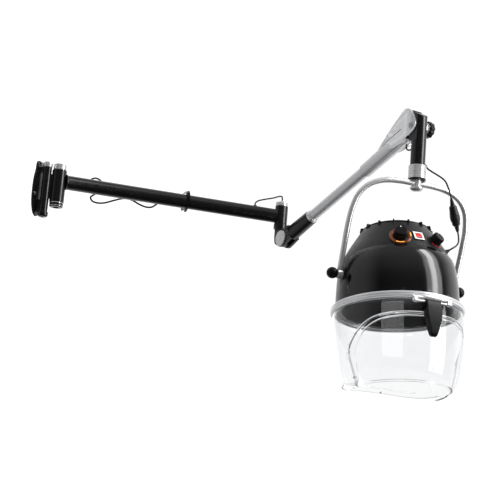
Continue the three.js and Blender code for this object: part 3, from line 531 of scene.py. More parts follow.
# ---- Wall bracket ------------------------------------------------------
def add_wall_bracket():
    """The wall plate with its raised pad and two lugs, its screws, and the swivel's cap and nut."""
    half = [
        (0, 55), (15, 54.5), (21, 47), (23, 28), (29, 0), (31, -34), (27, -78), (14, -106),
        (0, -114),
    ]
    base = mirrored(right_half(half, 5))
    inner = [(y * 0.62, (z + 20) * 0.72 - 26) for y, z in half]
    pad = mirrored(right_half(inner, 4))
    lugs = []
    for low, high in ((23, 37), (-100, -64)):
        lugs.append(shifted(rod(13, low, high), moved(SWIVEL_X, 0, 0)))
        lugs.append(block((3, -9, low), (SWIVEL_X, 9, high)))
    piece("bracket_casting", prism(base, 0.2, 5, "x"), WALL, "black_paint", "wall_bracket",
          "wall_plate", 1.0, adds=[prism(pad, 4, 10, "x"), *lugs])
    for name, y, z in (("top", 0, 50), ("left", -21, -48), ("right", 21, -48)):
        head = lathe([(0, 5), (6, 5), (6, 6.3), (4.6, 7.8), (0, 8.3)], "x", 32)
        slot = block((7.3, -4.5, -0.6), (9, 4.5, 0.6))
        cross = block((7.3, -0.6, -4.5), (9, 0.6, 4.5))
        piece(f"screw_{name}", head, moved(0, y, z), "steel", "wall_bracket",
              f"wall_screw_{name}", 0.2, cuts=[slot, cross])
    cap = [(0, 37.3), (12.5, 37.3), (12.5, 38.6), (14, 38.6), (14, 49), (12.8, 52.6), (9, 55)]
    pin = joined(lathe(cap + [(0, 56.4)]), rod(6, -112, 38))
    piece("swivel_cap", pin, SWIVEL, "chrome", "wall_bracket", "swivel_pin", 0.6)
    nut = [(6.2, -100.3), (14.5, -100.3), (15.5, -101.3), (15.5, -112), (12, -116), (6.2, -116)]
    piece("pin_nut", lathe(nut), SWIVEL, "black_paint", "wall_bracket", "swivel_nut", 0.6)


# ---- First arm ---------------------------------------------------------
def add_inner_arm():
    """The first arm from its eye on the wall pin to the barrel and dome at the elbow."""
    barrel = shifted(rod(22, -67, 33, sides=96), moved(BARREL_X, 0, 0))
    root = joined(rod(13, -63.7, 22.7), block((6, -8, -58), (29, 8, 17)), barrel)
    piece("root_casting", root, INNER, "black_paint", "inner_arm", "arm_root_casting", 1.2)
    cap = [(0, 33.2), (19, 33.2), (19, 34.6), (20, 34.6), (20, 49), (18.6, 51.6), (0, 52.3)]
    piece("root_cap", lathe(cap), ROOT_BARREL, "chrome", "inner_arm", "root_barrel_cap", 0.7)
    ring = [(10, -69.6), (20.6, -69.6), (20.6, -78), (19, -81), (10, -81.3)]
    band = [(10, -67.3), (21.4, -67.3), (21.8, -68.4), (21.4, -69.5), (10, -69.5)]
    foot = [(20.7, -76.4), (21.4, -76.6), (21.4, -78.2), (20.4, -78.4)]
    piece("root_ring", lathe(ring), ROOT_BARREL, "black_paint", "inner_arm",
          "root_barrel_ring", 0.6)
    bands = joined(lathe(band), lathe(foot))
    piece("root_ring_bands", bands, ROOT_BARREL, "chrome", "inner_arm", (), 0.2)
    weld = [(0, 58.2), (23.4, 58.2), (24.2, 59.6), (22.6, 62.5), (22, 64), (22, 735)]
    weld += [(22.4, 736.2), (22.8, 738), (0, 738)]
    piece("first_tube", lathe(weld, "x"), INNER, "black_paint", "inner_arm", "inner_arm_tube")
    collar = [(0, -25.3), (20.5, -25.3), (20.5, 33), (0, 33)]
    piece("second_barrel", lathe(collar), ELBOW_BARREL, "black_paint", "inner_arm",
          "elbow_barrel", 1.0)
    top = [
        (0, 33.2), (19.4, 33.2), (19.4, 34.4), (20, 34.6), (20, 43), (18.6, 46), (13, 48.6),
        (7.4, 49.6), (7.2, 51), (4.6, 52.1), (0, 52.1),
    ]
    piece("elbow_dome", lathe(top), ELBOW_BARREL, "chrome", "inner_arm", "elbow_cap", 0.5)
    bridge = [
        (-90, 0, 22.2), (-90, 0, 30), (-84, 0, 38), (-63, 0, 47), (-31, 0, 57), (-12, 0, 65),
        (-2, 0, 66), (0, 0, 60), (0, 0, 51.6),
    ]
    grommet = lathe([(2.4, 20), (6, 20), (6, 23.2), (4, 24.8), (2.4, 24.8)], sides=32)
    lead = joined(short_lead(bridge, 6), shifted(grommet, moved(-90, 0, 0)))
    piece("bridge_lead", lead, ELBOW_BARREL, "cord_rubber", "inner_arm", "elbow_lead")
    relief = [(0, 21.6), (8, 21.6), (8, 25.4), (6.8, 26)]
    for i in range(4):
        y = 26.6 + 3.1 * i
        relief += [(6.6 - 0.55 * i, y), (6.4 - 0.55 * i, y + 1.9), (5.4 - 0.5 * i, y + 2.1)]
        relief += [(5.4 - 0.5 * i, y + 2.9)]
    relief += [(3.7, 39.2), (0, 39.2)]
    piece("mains_relief", lathe(relief, "y", 40), INNER @ moved(GLAND_X, 0, 0), "cord_rubber",
          "inner_arm", "mains_gland", 0.2)


# ---- Elbow knuckle and second arm --------------------------------------
def add_knuckle():
    heel = [(-19, -64), (-14, -86), (8, -98), (30, -102), (48, -94), (56, -78), (48, -58)]
    side = [(-19, -40)] + smooth(heel, 5) + [(19, -40)]
    tongue = prism(side, -8, 8, "y")
    table = lathe([(0, -42), (20.6, -42), (21.6, -41), (21.6, -26.4), (20.8, -25.8), (0, -25.8)])
    piece("knuckle_casting", joined(table, tongue), ELBOW, "black_paint", "elbow",
          "elbow_knuckle", 1.4)


def add_outer_arm():
    """The second arm: forked socket, tube, and the silver cover of its head."""
    round_end = arc(0, 0, 27, 90, 270, 24) + [(46, -23), (46, 23)]
    cheeks = [prism(round_end, 8.6, 17, "y"), prism(round_end, -17, -8.6, "y")]
    body = lathe([(0, 34), (19, 34), (23.4, 40), (23.5, 60), (22, 142), (0, 142)], "x")
    window = block((50, -30, -6), (69, -20.4, 6))
    piece("socket_casting", joined(*cheeks, body), OUTER, "black_paint", "outer_arm",
          "arm_socket", 1.2, cuts=[window])
    disc = [(0, -23.4), (7, -23.4), (8, -22.6), (18.6, -22.6), (20, -21.9), (24, -21.9)]
    disc += [(25, -20.8), (25, -17.3), (0, -17.3)]
    piece("pivot_disc", lathe(disc, "y"), OUTER, "chrome", "outer_arm", "elbow_pivot_pin", 0.4)
    nut = lathe([(0, 17.3), (22, 17.3), (22, 21), (20.6, 22.8), (0, 23)], "y")
    piece("pivot_nut", nut, OUTER, "black_paint", "outer_arm", "elbow_pivot_nut", 0.5)
    collar = [(17, 142.3), (20.4, 142.3), (21, 143), (21, 153.2), (20.4, 154), (17, 154)]
    piece("chrome_collar", lathe(collar, "x"), OUTER, "chrome", "outer_arm", "socket_collar", 0.3)
    tube = lathe([(14.8, 80), (17, 80), (17, 612), (14.8, 612)], "x")
    piece("second_tube", tube, OUTER, "silver", "outer_arm", "outer_arm_tube")
    slope = [(482, 20), (510, 22), (538, 27), (566, 35.5), (600, 47), (632, 57)]
    nose = [
        (636, 58.2), (648, 59.4), (657, 56), (666, 48), (672, 34), (676, 14), (674, -4),
        (664, -17), (646, -21.5), (626, -21),
    ]
    crest = [(480, 4), (480, 19.5)] + smooth(slope, 4) + smooth(nose, 5) + [(560, -16)]
    plan = [(474, -4), (520, -17), (560, -22), (690, -22)]
    plan += [(x, -y) for x, y in reversed(plan)]
    plate = mesh_object("crest_tool", prism(crest, -23, 23, "y"), OUTER)
    apply_boolean(plate, prism(plan, -40, 90, "z"), OUTER, "INTERSECT")
    sleeve = lathe([(0, 416), (20, 416), (21, 417.2), (21, 612), (0, 612)], "x")
    room = block((618, -18.4, -60), (720, 18.4, 46))
    slit = block((462, -24, 11.2), (614, -15.6, 13.4))
    # A black strip along the bottom of the cover's slit is painted shade: it darkens the slit.
    piece("cover_seam", block((463, -16.2, 11.4), (613, -15, 13.2)), OUTER, "cord_rubber",
          "outer_arm")
    piece("head_casting", taken(plate, OUTER), OUTER, "silver", "outer_arm", "arm_head_cover", 2.6,
          adds=[sleeve], cuts=[room, slit], angle=24)
    bolt = [(0, -23.8), (4, -23.8), (4.2, -22.9), (9.2, -22.9), (10, -22.2), (10, -21.8)]
    piece("bolt_cover", lathe(bolt + [(5, -21.8), (5, 34), (0, 34)], "y"),
          HEAD_BOLT, "steel", "outer_arm", "head_bolt", 0.2)


# ---- Column and its clamp knob -----------------------------------------
def add_column():
    """The black head on the arm, the tube that hangs from it, and its ribbed chrome collar."""
    back = [(-14, 30), (-20, 15), (-21, 0), (-18, -16), (-9, -26)]
    side = [(-9, -44), (33, -44), (33, 17)] + smooth([(32.4, 21), (29, 27), (20, 32)], 4)
    side += [(2, 41), (-7, 38)] + smooth(back, 4)
    slot = block((-30, -3.5, -22), (8, 3.5, 26))
    blade = mesh_object("blade_tool", prism(side, -18, 18, "y"), HEAD)
    stadium = arc(12, 0, 20.9, -59.5, 59.5, 16) + [(-30, 18), (-30, -18)]
    apply_boolean(blade, prism(stadium, -50, 45, "z"), HEAD, "INTERSECT")
    piece("head_block", taken(blade, HEAD), HEAD, "black_paint", "column", "column_head", 1.8,
          cuts=[slot])
    tube = lathe([(17.4, -117), (21, -117), (21, -44.3), (17.4, -44.3)])
    piece("hanging_tube", tube, COLUMN, "black_paint", "column", "column_tube", 0.4)
    collar = [(13.6, -117.3), (24.2, -117.3), (25, -118.2)]
    for z in (-123, -130, -137, -144):
        collar += [(25, z + 1), (24, z + 0.4), (24, z - 0.4), (25, z - 1)]
    collar += [(25, -154.4), (24.2, -155.2), (13.6, -155.2)]
    piece("ribbed_collar", lathe(collar), COLUMN, "chrome", "column", "column_collar", 0.2)
    lead = [
        (-39, 0, -42.8), (-41, 0, -50), (-38, 0, -58), (-30, 0, -62.5), (-20, 0, -63),
        (-9, 0, -62),
    ]
    bends = ("outer_arm", "column", in_metres(HEAD, lead[0]), in_metres(HEAD, lead[-1]))
    piece("arm_to_column_lead", short_lead(lead, 6), HEAD, "cord_rubber", bends, "column_lead")


def add_head_clamp():
    washer = [(5.3, 24.4), (14, 24.4), (14.4, 25), (14.4, 29.6), (18, 33), (5.3, 33)]
    piece("clamp_washer", lathe(washer, "y"), HEAD, "chrome", "head_clamp", (), 0.3)
    grip = prism(fluted(23, 0.95, 10, 8), 34.5, 48.5, "y")
    cap = lathe([(0, 48), (17, 48), (16, 51), (8, 52.2), (0, 52.4)], "y")
    piece("clamp_grip", joined(grip, cap), HEAD, "dark_plastic", "head_clamp",
          "head_clamp_knob", 1.4, angle=40)


# ---- Yoke --------------------------------------------------------------
BOW_HALF = [
    (180, 8), (181, 60), (182, 120), (180, 180), (167, 228), (140, 258), (100, 275),
    (50, PIVOT_DROP),
]
CONNECTOR_LOW = Vector((3, 156, -110))
CONNECTOR_HIGH = Vector((13, 109, -22))


def add_bow():
    """The bent tube over the hood, with an eye at each end."""
    right = [(0, y, z - PIVOT_DROP) for y, z in BOW_HALF]
    left = [(0, -y, z) for _, y, z in reversed(right)]
    line = smooth(right + [(0, 0, 0)] + left, 8)
    eye = lathe([(5.4, 172), (12.2, 172), (13, 172.8), (13, 186.2), (12.2, 187), (5.4, 187)],
                "y", 48)
    eyes = [shifted(eye, moved(0, 0, -PIVOT_DROP) @ turned("Z", side)) for side in (0, 180)]
    tube = sweep(line, circle(8, 32))
    piece("bow_tube", joined(tube, *eyes), BOW, "chrome", "yoke", "yoke_bow")


def add_stub():
    stub = [
        (0, 98), (12.4, 98), (13, 97), (13, -8.6), (12.2, -9.6), (17.4, -10.4), (18.5, -11.8),
        (18.5, -15.6), (16.8, -18), (12, -20.8), (0, -21.9),
    ]
    flange = lathe([(13, 52), (16.6, 52), (16.6, 58), (13, 58)])
    piece("swivel_stub", joined(lathe(stub), flange), YOKE, "chrome", "yoke", "yoke_stub", 0.3)
    washer = lathe([(13.4, 12.4), (24.8, 12.4), (25.5, 11.8), (25.5, 10), (24.8, 9.4),
                    (13.4, 9.4)])
    piece("washer_disc", washer, YOKE, "dark_plastic", "yoke", "swivel_washer", 0.2)


def add_connector():
    """An in-line connector: two tapered strain reliefs and a moulded body in two halves."""
    length = (CONNECTOR_HIGH - CONNECTOR_LOW).length
    outline = [(0, 0), (4, 0)]
    for i in range(4):
        z = 1.5 + 3.6 * i
        outline += [(4.4 + 0.6 * i, z), (4.8 + 0.6 * i, z + 2.4), (3.9 + 0.6 * i, z + 2.6)]
    outline += [(6.6, 16.5), (10.5, 20), (11.4, 23), (11.6, 30), (13.4, 34), (14, 38)]
    outline += [(14, 49), (12.6, 50), (12.6, 52), (13.6, 53), (11.8, 60), (11, 74)]
    outline += [(9.4, 77), (7, 79)]
    for i in range(4):
        z = length - 18 + 3.6 * i
        outline += [(6 - 0.6 * i, z), (6.4 - 0.6 * i, z + 2.4), (5.2 - 0.6 * i, z + 2.6)]
    outline += [(3.6, length), (0, length)]
    turn = (CONNECTOR_HIGH - CONNECTOR_LOW).to_track_quat("Z", "Y").to_matrix().to_4x4()
    place = BOW @ Matrix.Translation(CONNECTOR_LOW) @ turn
    lug = block((-13.5, -3, 40), (-10, 3, 56))
    piece("inline_connector", joined(lathe(outline, sides=40), lug), place, "cord_rubber",
          "yoke", "lead_connector", 0.4)


def on_hood(turn, z, r, rise):
    """The place of a piece drawn on +X and standing on the hood's wall.

    turn is its direction round the hood and rise its wall's slope, in degrees."""
    return HOOD @ turned("Z", turn) @ moved(r, 0, z) @ turned("Y", -rise)


LEAD_GLAND = on_hood(58, 166, 136.6, 30)
TIMER = on_hood(-24.4, 170, 135, 30)
THERMOSTAT = on_hood(19.5, 167, 137, 30)
ROCKER = on_hood(-2.3, 175, 132.5, 30)


def add_jumpers():
    """The two short leads: from the column to the connector, and from there to the hood."""
    to_bow = BOW.inverted()
    step = (CONNECTOR_HIGH - CONNECTOR_LOW).normalized()
    lower = [
        tuple(to_bow @ (LEAD_GLAND @ Vector((12, 0, 0)))),
        tuple(to_bow @ (LEAD_GLAND @ Vector((20, 0, 0)))),
        (30, 146, -148),
        (17, 157, -136),
        tuple(CONNECTOR_LOW - 9 * step),
        tuple(CONNECTOR_LOW - 0.1 * step),
    ]
    column = to_bow @ COLUMN
    upper = [
        tuple(CONNECTOR_HIGH + 0.1 * step),
        tuple(CONNECTOR_HIGH + 12 * step),
        (15, 92, 6),
        (15, 76, 24),
        tuple(column @ Vector((0, 37, -116))),
        tuple(column @ Vector((0, 29, -108))),
        tuple(column @ Vector((0, 21.2, -107))),
    ]
    low_bend = ("hood", "yoke", in_metres(BOW, lower[1]), in_metres(BOW, lower[3]))
    piece("lead_to_hood", short_lead(lower, 8), BOW, "cord_rubber", low_bend, "jumper_lead_lower")
    high_bend = ("yoke", "column", in_metres(BOW, upper[1]), in_metres(BOW, upper[5]))
    piece("lead_to_column", short_lead(upper, 8), BOW, "cord_rubber", high_bend,
          "jumper_lead_upper")
    relief = [
        (0, 0.6), (7, 0.6), (7, 3.6), (5.8, 4.2), (5.4, 6), (4.6, 6.2), (4.6, 7.2), (4.7, 7.4),
        (4.4, 9), (3.7, 9.2), (3.7, 10.2), (3.6, 12), (0, 12),
    ]
    piece("hood_relief", lathe(relief, "x", 40), LEAD_GLAND, "cord_rubber", "hood",
          "hood_lead_gland", 0.2)


# ---- Hood shell --------------------------------------------------------
SHELL = [(172, 0.4), (168.5, 60), (163, 106), (147, 148), (128, 181), (109, 210), (98, 226)]
SHELL_SIDES = 192
FASCIA = [
    (172, 0.6), (170.5, 60), (167.5, 90), (163, 115), (157, 132), (150, 142), (147.3, 147),
]
FASCIA_EDGE = [
    (0, 147), (60, 146.5), (110, 143), (142, 137), (157, 124), (165, 100), (168, 60), (168, 0),
]
VENT_RIBS = 15
RIB_OFFSET = 0.625  # where the ribs and fins stand, as a share of one step
SLOT_OFFSET = 0.125  # where the slots between them lie


def wall_outline(line, thickness):
    """A turned wall's closed outline from its outer line."""
    inner = []
    for i, (r, z) in enumerate(line):
        ra, za = line[max(0, i - 1)]
        rb, zb = line[min(len(line) - 1, i + 1)]
        length = hypot(rb - ra, zb - za)
        side = 1 if zb > za else -1
        inner.append(
            (r - side * thickness * (zb - za) / length, z + side * thickness * (rb - ra) / length)
        )
    return list(line) + inner[::-1]


def radius_at(line, z):
    for (ra, za), (rb, zb) in zip(line, line[1:]):
        if min(za, zb) <= z <= max(za, zb):
            return ra + (rb - ra) * (z - za) / (zb - za)
    return line[-1][0]


def add_shell():
    """The satin shell and, on its sides, the raised plates that the ball knobs clamp."""
    line = smooth(SHELL, 6)
    outline = wall_outline(line + [(90, 226), (78, 226)], 3)
    bosses = []
    for side in (0, 180):
        boss = lathe([(0, 158), (16, 158), (16, 170), (15.4, 170.7), (0, 170.7)], "y", 64)
        plate_line = arc(0, 5, 17, 0, 180, 16) + [(-17, -40), (17, -40)]
        plate = prism(plate_line, 158, 168.4, "y")
        turn = moved(0, 0, PIVOT_RISE) @ turned("Z", side)
        bosses += [shifted(boss, turn), shifted(plate, turn)]
    shell = lathe(outline, sides=SHELL_SIDES)
    piece("rear_shell", shell, HOOD, "satin_black", "hood", "hood_shell")
    piece("pivot_bosses", joined(*bosses), HOOD, "satin_black", "hood", (), 1.0)


def around_top(shape, offset):
    """A shape repeated round the hood's top, offset by a share of one step."""
    step = 360 / VENT_RIBS
    return joined(*[shifted(shape, turned("Z", (i + offset) * step)) for i in range(VENT_RIBS)])


def add_fascia():
    """The gloss front cover, which swells a little beyond the shell's cone."""
    wall = lathe(wall_outline(smooth(FASCIA, 5), 4), sides=SHELL_SIDES)
    cover = mesh_object("cover_tool", wall, HOOD)
    outline = mirrored(right_half(FASCIA_EDGE, 6))
    apply_boolean(cover, prism(outline, 25, 200, "x"), HOOD, "INTERSECT")
    piece("front_fascia", taken(cover, HOOD), HOOD, "gloss_black", "hood", (), 0.8, angle=45)
    fin = [(92, 212), (103, 212), (104.5, 215), (104.5, 225), (103, 226), (92, 226)]
    fins = around_top(prism(fin, -1.5, 1.5, "y"), RIB_OFFSET)
    piece("shell_fins", fins, HOOD, "satin_black", "hood", (), 0.5)


def add_ring():
    outline = [
        (160, 0), (173, 0), (173, 1.5), (181.6, 1.5), (183.6, 0.9), (184.8, -0.8), (185, -3),
        (185, -5.2), (183.7, -6.4), (183.7, -7.4), (185, -8.6), (185, -11.5), (184.5, -13),
        (183, -14), (176.2, -14), (176.2, -3), (160, -3),
    ]
    piece("silver_ring", lathe(outline, sides=SHELL_SIDES), HOOD, "silver", "hood",
          "trim_ring", 0.25)


def add_vent_cap():
    top = [(80, 226.3), (96, 226.3), (96, 230.6), (95, 231.8)]
    top += smooth([(90, 234), (72, 236.4), (50, 238), (26, 239.4)], 4) + [(0, 240)]
    under = [(0, 237), (50, 235), (80, 231)]
    slot = block((36, -3.2, 220), (78, 3.2, 250))
    rib = [(90, 226.3), (103, 226.3), (103, 231), (101.5, 234), (92, 234.4)]
    ribs = around_top(prism(rib, -1.8, 1.8, "y"), RIB_OFFSET)
    piece("vent_grille", lathe(top + under, sides=120), HOOD, "dark_plastic", "hood",
          "vent_cap", 0.5, cuts=[around_top(slot, SLOT_OFFSET)])
    piece("vent_ribs", ribs, HOOD, "dark_plastic", "hood", (), 0.6)


def add_bowl():
    """The bowl inside the shell, with three rings of air holes, and its lip."""
    dome = [(159, -3.4), (157.6, 24), (156, 48), (142, 87), (112, 110), (60, 121), (12, 123)]
    outline = wall_outline(smooth(dome, 6), 2.5)
    lip = lathe([(154, -3.4), (171.6, -3.4), (171.6, -5.9), (154, -5.9)], sides=144)
    holes = []
    for radius, count in ((100, 16), (70, 12), (40, 8)):
        for i in range(count):
            turn = turned("Z", i * 360 / count)
            hole = shifted(rod(4.2, 60, 140, sides=20), moved(radius, 0, 0))
            holes.append(shifted(hole, turn))
    piece("air_bowl", lathe(outline, sides=144), HOOD, "bowl_black", "hood", "inner_bowl",
          cuts=[joined(*holes)])
    piece("bowl_lip", lip, HOOD, "dark_plastic", "hood", (), 0.4)


# ---- Controls ----------------------------------------------------------
KNOB_FLUTES = 28
FLUTE_DEPTH = 0.45


def knob_shape(radius, length):
    """A fluted knob along X that narrows to a rounded front edge."""
    outline = fluted(radius - FLUTE_DEPTH, FLUTE_DEPTH, KNOB_FLUTES, 6)
    count = len(outline)
    stations = [(1.0, 4.6), (0.985, length - 3.5), (0.94, length - 1), (0.86, length)]
    verts = [(x, y * k, z * k) for k, x in stations for y, z in outline]
    faces = [list(range(count - 1, -1, -1)), list(range(3 * count, 4 * count))]
    for row in range(3):
        for i in range(count):
            j = (i + 1) % count
            a, b = row * count, (row + 1) * count
            faces.append([a + i, a + j, b + j, b + i])
    return verts, faces


def add_knob(name, node, place, body, radius, length):
    skirt = lathe([(0, 1.7), (radius + 2.5, 1.7), (radius + 2.5, 3.4), (radius + 1, 5), (0, 5)],
                  "x", 64)
    piece(f"{name}_grip", joined(skirt, knob_shape(radius, length)), place,
          "dark_plastic", body, node, 0.35, angle=45)
    mark = block((length - 0.4, -0.8, radius - 9), (length + 0.35, 0.8, radius - 2.6))
    piece(f"{name}_mark", mark, place, "white", body, (), 0.15)


def add_pads():
    """Flat pads in the shell, under the controls."""
    timer = lathe([(0, -9), (33, -9), (33, 0.2), (32.2, 1), (0, 1)], "x", 96)
    dial = lathe([(0, -9), (22, -9), (22, 0.4), (21.4, 1), (0, 1)], "x", 72)
    piece("timer_pad", timer, TIMER, "satin_black", "hood", (), 0.3)
    piece("thermostat_pad", dial, THERMOSTAT, "satin_black", "hood", (), 0.3)
    well = block((-9, -15, -15), (1, 15, 15))
    piece("rocker_pad", well, ROCKER, "satin_black", "hood", (), 0.6)


def add_controls():
    """The timer, its glowing ring and two arcs of painted glint on it, the thermostat and its
    scale, and the rocker switch.
    """
    add_pads()
    add_knob("timer", "timer_knob", TIMER, "timer", 18.5, 24)
    add_knob("thermostat", "thermostat_knob", THERMOSTAT, "thermostat", 17, 24)
    ring = lathe([(22.4, 1.2), (31, 1.2), (30.8, 2.6), (29, 4), (25.6, 4.2), (25, 2.4),
                  (22.4, 2.2)], "x", 96)
    piece("timer_glow", ring, TIMER, "dim_amber", "hood", "timer_glow_ring", 0.3)
    # Two bright glowing arcs on the timer ring, one low and one at the side, are painted glints:
    # highlights drawn as light that the ring gives off.
    for name, start, end in (("low", -118, -72), ("side", -8, 22)):
        line = [(4.1, y, z) for y, z in arc(0, 0, 28, start, end, 16)]
        piece(f"timer_lamp_{name}", sweep(line, circle(0.9, 10)), TIMER, "amber", "hood")
    scale = [(1.6, y, z) for y, z in arc(0, 0, 20.8, -150, -20, 24)]
    piece("thermostat_scale", sweep(scale, circle(0.7, 8)), THERMOSTAT, "red", "hood")
    frame_plate = block((1.2, -14.5, -14.5), (2.8, 14.5, 14.5))
    hole = block((-4, -9.7, -10.4), (4, 9.7, 10.4))
    piece("rocker_frame", frame_plate, ROCKER, "white", "hood", "rocker_bezel", 0.4, cuts=[hole])
    key = [(-1.5, -8), (-1.5, 8), (2.6, 8.6), (1.6, 0), (4.4, -8.6)]
    piece("rocker_button", prism(key, -9.2, 9.2, "y"), ROCKER, "red", "power_switch",
          "power_rocker", 0.5)


def add_ball_knobs():
    for name, turn in (("left", 0), ("right", 180)):
        ball = arc(0, 201, 16, -48, 90, 20)
        outline = [(0, 162), (3.9, 162), (3.9, 188.6), (10.2, 188.6)] + ball[:-1] + [(0, 217)]
        place = HOOD @ moved(0, 0, PIVOT_RISE) @ turned("Z", turn)
        piece(f"{name}_ball", lathe(outline, "y", 64), place, "dark_plastic",
              f"{name}_clamp", f"{name}_ball_knob")


# ---- Clear skirt and visor ---------------------------------------------
SKIRT = [
    (175.8, -6.4), (175.8, -15.5), (179, -19), (179.6, -64), (173.5, -136), (161, -200),
    (150, -224), (136, -236),
]
SKIRT_LINE = smooth(SKIRT[::-1], 6)
ARCH = [
    (0, -58), (60, -58.5), (100, -60.5), (130, -67), (149, -79), (161, -98), (167, -120),
    (168, -144), (156, -200), (145, -224), (130, -240),
]
NAPE = [(0, -198), (40, -200), (80, -207), (112, -214), (132, -218), (160, -221)]
OPENING_X = 20
HINGE = moved(187, 0, -27)


def skirt_wall():
    return lathe(wall_outline(SKIRT_LINE, 3), sides=SHELL_SIDES)


def arch_line(inset):
    """The right half of the visor's mouth, moved in from its edge."""
    return smooth([(max(0, y - inset), z) for y, z in ARCH], 8)


def arch_prism(inset, from_x):
    """What lies inside the visor's mouth, from a plane forward."""
    half = [(max(0, y), z - inset) for y, z in arch_line(inset)]
    return prism(mirrored(half), from_x, 230, "x")


def rim_on_wall(points, radius, sign):
    """A rounded rim of clear plastic that follows a line of (y, z) on the skirt's wall."""
    path = []
    for y, z in points:
        r = radius_at(SKIRT_LINE, z) - 1.4
        if abs(y) < r:
            path.append((sign * (r * r - y * y) ** 0.5, y, z))
    return sweep(path, circle(radius, 12))


def add_visor():
    """The clear skirt and the door in its mouth, each with a thicker rim along its edges."""
    nape = right_half(NAPE, 6) + [(160, -245)]
    back_cut = prism(mirrored(nape), -230, -30, "x")
    piece("clear_skirt", skirt_wall(), HOOD, "clear_plastic", "hood", "visor_skirt", 0.5,
          cuts=[arch_prism(0, OPENING_X), back_cut])
    front = both_sides([(y, z + 3) for y, z in smooth(ARCH, 8)])
    front = [(y, z) for y, z in front if z > -226]
    piece("arch_rim", rim_on_wall(front, 2.4, 1), HOOD, "clear_plastic", "hood")
    neck = both_sides([(y, z + 16) for y, z in smooth(NAPE, 6)])
    neck = [(y, z) for y, z in neck if abs(y) < 118]
    piece("neck_rim", rim_on_wall(neck, 2.2, -1), HOOD, "clear_plastic", "hood")
    foot = [(x, y, -232) for x, y in arc(0, 0, 139, -74, 74, 48)]
    piece("door_foot_rim", sweep(foot, circle(1.8, 12)), HOOD, "clear_plastic", "visor")
    door = piece("clear_door", skirt_wall(), HOOD, "clear_plastic", "visor", "visor_door")
    keep = arch_prism(1.2, OPENING_X + 1.5)
    apply_boolean(door, keep, HOOD, "INTERSECT")
    apply_boolean(door, block((0, -220, -300), (230, 220, -229)), HOOD, "DIFFERENCE")
    door.data.shade_smooth()
    door.data.set_sharp_from_angle(angle=radians(30))
    edge = both_sides([(y, z - 7) for y, z in arch_line(7)])
    edge = [(y, z) for y, z in edge if z > -222]
    piece("door_rim", rim_on_wall(edge, 2.2, 1), HOOD, "clear_plastic", "visor")


def add_hinge():
    """Two clips under the ring, with a pair of lugs that hold the door's pin."""
    plates = [block((180, y, -18), (190, y + 32, -14.3)) for y in (28, -60)]
    lugs = []
    for y in (46, -56):
        lug = arc(187, -27, 5.5, 180, 360, 12) + [(191.5, -16), (182, -16)]
        lugs.append(prism(lug, y, y + 10, "y"))
    pin = lathe([(0, -60), (3, -60), (3, 60), (0, 60)], "y", 32)
    piece("hinge_clips", joined(*plates, *lugs, shifted(pin, HINGE)), HOOD, "chrome", "hood",
          "visor_hinge", 0.6)


def add_handle():
    front_line = [
        (187, -19.4), (194, -21.5), (198.5, -30), (202, -52), (203, -78), (200, -108),
        (196, -118), (188, -122),
    ]
    back_line = [
        (182, -117), (178.2, -96), (178.2, -60), (179.6, -42), (179.6, -27), (181.4, -21.6),
    ]
    side = smooth(front_line, 5) + back_line
    grip = prism(side, -24, 24, "y")
    front = mirrored([(0, -10), (21, -10), (22, -62), (8, -124), (0, -124)])
    handle = mesh_object("handle_tool", grip, HOOD)
    apply_boolean(handle, prism(front, 170, 220, "x"), HOOD, "INTERSECT")
    piece("lift_handle", taken(handle, HOOD), HOOD, "dark_plastic", "visor", "visor_handle", 1.6)


# ---- Studio ------------------------------------------------------------
ROOM_LEVEL = 0.03  # brightness of the dark part of the studio
SEEN_LEVEL = 0.8  # least brightness of the room where it is seen past the object
THROUGH_LEVEL = 0.35  # and where it is seen through the clear plastic
GLOWS = (("Y", 0.3, 0.78, 1.0), ("X", -0.25, -0.8, 0.5), ("Z", 0.35, 0.85, 0.5))
FLOOR_REACH = 4.0
FLOOR_LEVEL = -1.75
LIGHT_AIM = Vector((0.9, 0.2, -0.2))
# name, place, width and height, power, whether it shows as a reflection
LIGHTS = (
    ("key", (4.0, 0.15, 1.0), (0.6, 5.0), 110, True),
    ("key_left", (4.0, -0.45, 1.0), (0.6, 5.0), 26, True),
    ("key_right", (4.0, 0.75, 1.0), (0.6, 5.0), 36, True),
    ("top", (0.6, -0.4, 3.2), (2.4, 1.2), 60, False),
    ("fill", (1.4, -3.4, 0.6), (2.5, 2.5), 70, False),
)


def add_floor():
    mesh = bpy.data.meshes.new("floor")
    signs = ((-1, -1), (1, -1), (1, 1), (-1, 1))
    square = [(x * FLOOR_REACH, y * FLOOR_REACH, FLOOR_LEVEL) for x, y in signs]
    mesh.from_pydata(square, [], [(0, 1, 2, 3)])
    floor = bpy.data.objects.new("floor", mesh)
    bpy.context.scene.collection.objects.link(floor)
    material = bpy.data.materials.new("floor")
    material.use_nodes = True
    shader = material.node_tree.nodes["Principled BSDF"]
    shader.inputs["Base Color"].default_value = (0.9, 0.9, 0.9, 1)
    shader.inputs["Roughness"].default_value = 0.9
    mesh.materials.append(material)
    floor.visible_glossy = False
    floor.visible_diffuse = False


def add_light(name, place, size, power, in_reflections):
    data = bpy.data.lights.new(name, "AREA")
    data.shape = "RECTANGLE"
    data.size, data.size_y = size
    data.energy = power
    light = bpy.data.objects.new(name, data)
    light.location = place
    aim = LIGHT_AIM - Vector(place)
    light.rotation_euler = aim.to_track_quat("-Z", "Y").to_euler()
    light.visible_camera = False
    light.visible_glossy = in_reflections
    bpy.context.scene.collection.objects.link(light)


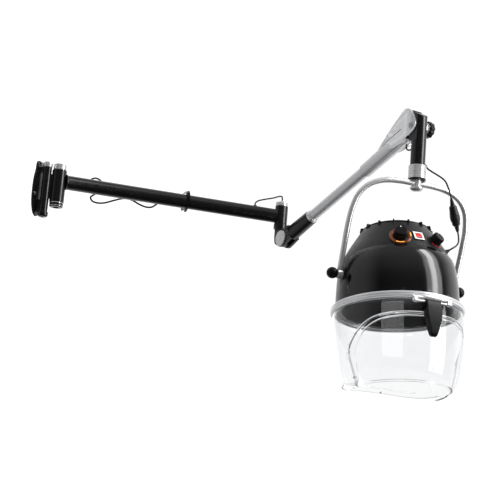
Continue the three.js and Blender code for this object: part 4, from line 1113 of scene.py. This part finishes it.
def light_room(tree):
    """White behind the object, grey at its left and above it, dark everywhere else.

    That is what the object mirrors; the camera itself sees no part darker than a pale grey."""
    nodes, links = tree.nodes, tree.links
    background = nodes["Background"]
    place = nodes.new("ShaderNodeTexCoord")
    split = nodes.new("ShaderNodeSeparateXYZ")
    links.new(place.outputs["Generated"], split.inputs["Vector"])

    def glow(axis, low, high, amount):
        step = nodes.new("ShaderNodeMapRange")
        step.interpolation_type = "SMOOTHSTEP"
        step.inputs["From Min"].default_value = low
        step.inputs["From Max"].default_value = high
        step.inputs["To Min"].default_value = 0
        step.inputs["To Max"].default_value = amount
        links.new(split.outputs[axis], step.inputs["Value"])
        return step.outputs["Result"]

    def combined(operation, first, second):
        """One step of arithmetic; second is a number or another step's result."""
        step = nodes.new("ShaderNodeMath")
        step.operation = operation
        links.new(first, step.inputs[0])
        if isinstance(second, float):
            step.inputs[1].default_value = second
        else:
            links.new(second, step.inputs[1])
        return step.outputs["Value"]

    total = ROOM_LEVEL
    for axis, low, high, amount in GLOWS:
        total = combined("ADD", glow(axis, low, high, amount), total)
    path = nodes.new("ShaderNodeLightPath")
    for ray, least in (("Is Camera Ray", SEEN_LEVEL), ("Is Transmission Ray", THROUGH_LEVEL)):
        share = combined("MULTIPLY", path.outputs[ray], least)
        total = combined("MAXIMUM", share, total)
    links.new(total, background.inputs["Strength"])
    background.inputs["Color"].default_value = (1.0, 1.0, 1.0, 1)


def add_studio():
    world = bpy.data.worlds.new("studio")
    world.use_nodes = True
    light_room(world.node_tree)
    bpy.context.scene.world = world
    bpy.context.scene.view_settings.view_transform = "Standard"
    for light in LIGHTS:
        add_light(*light)


add_mains_lead()
add_floor()
add_studio()
add_wall_bracket()
add_inner_arm()
add_knuckle()
add_outer_arm()
add_column()
add_head_clamp()
add_bow()
add_stub()
add_connector()
add_jumpers()
add_shell()
add_fascia()
add_ring()
add_vent_cap()
add_bowl()
add_controls()
add_ball_knobs()
add_visor()
add_hinge()
add_handle()
for node in ("link_rod", "blower_motor", "heating_element"):
    repaint(node, "steel")
repaint("fan_impeller", "white")
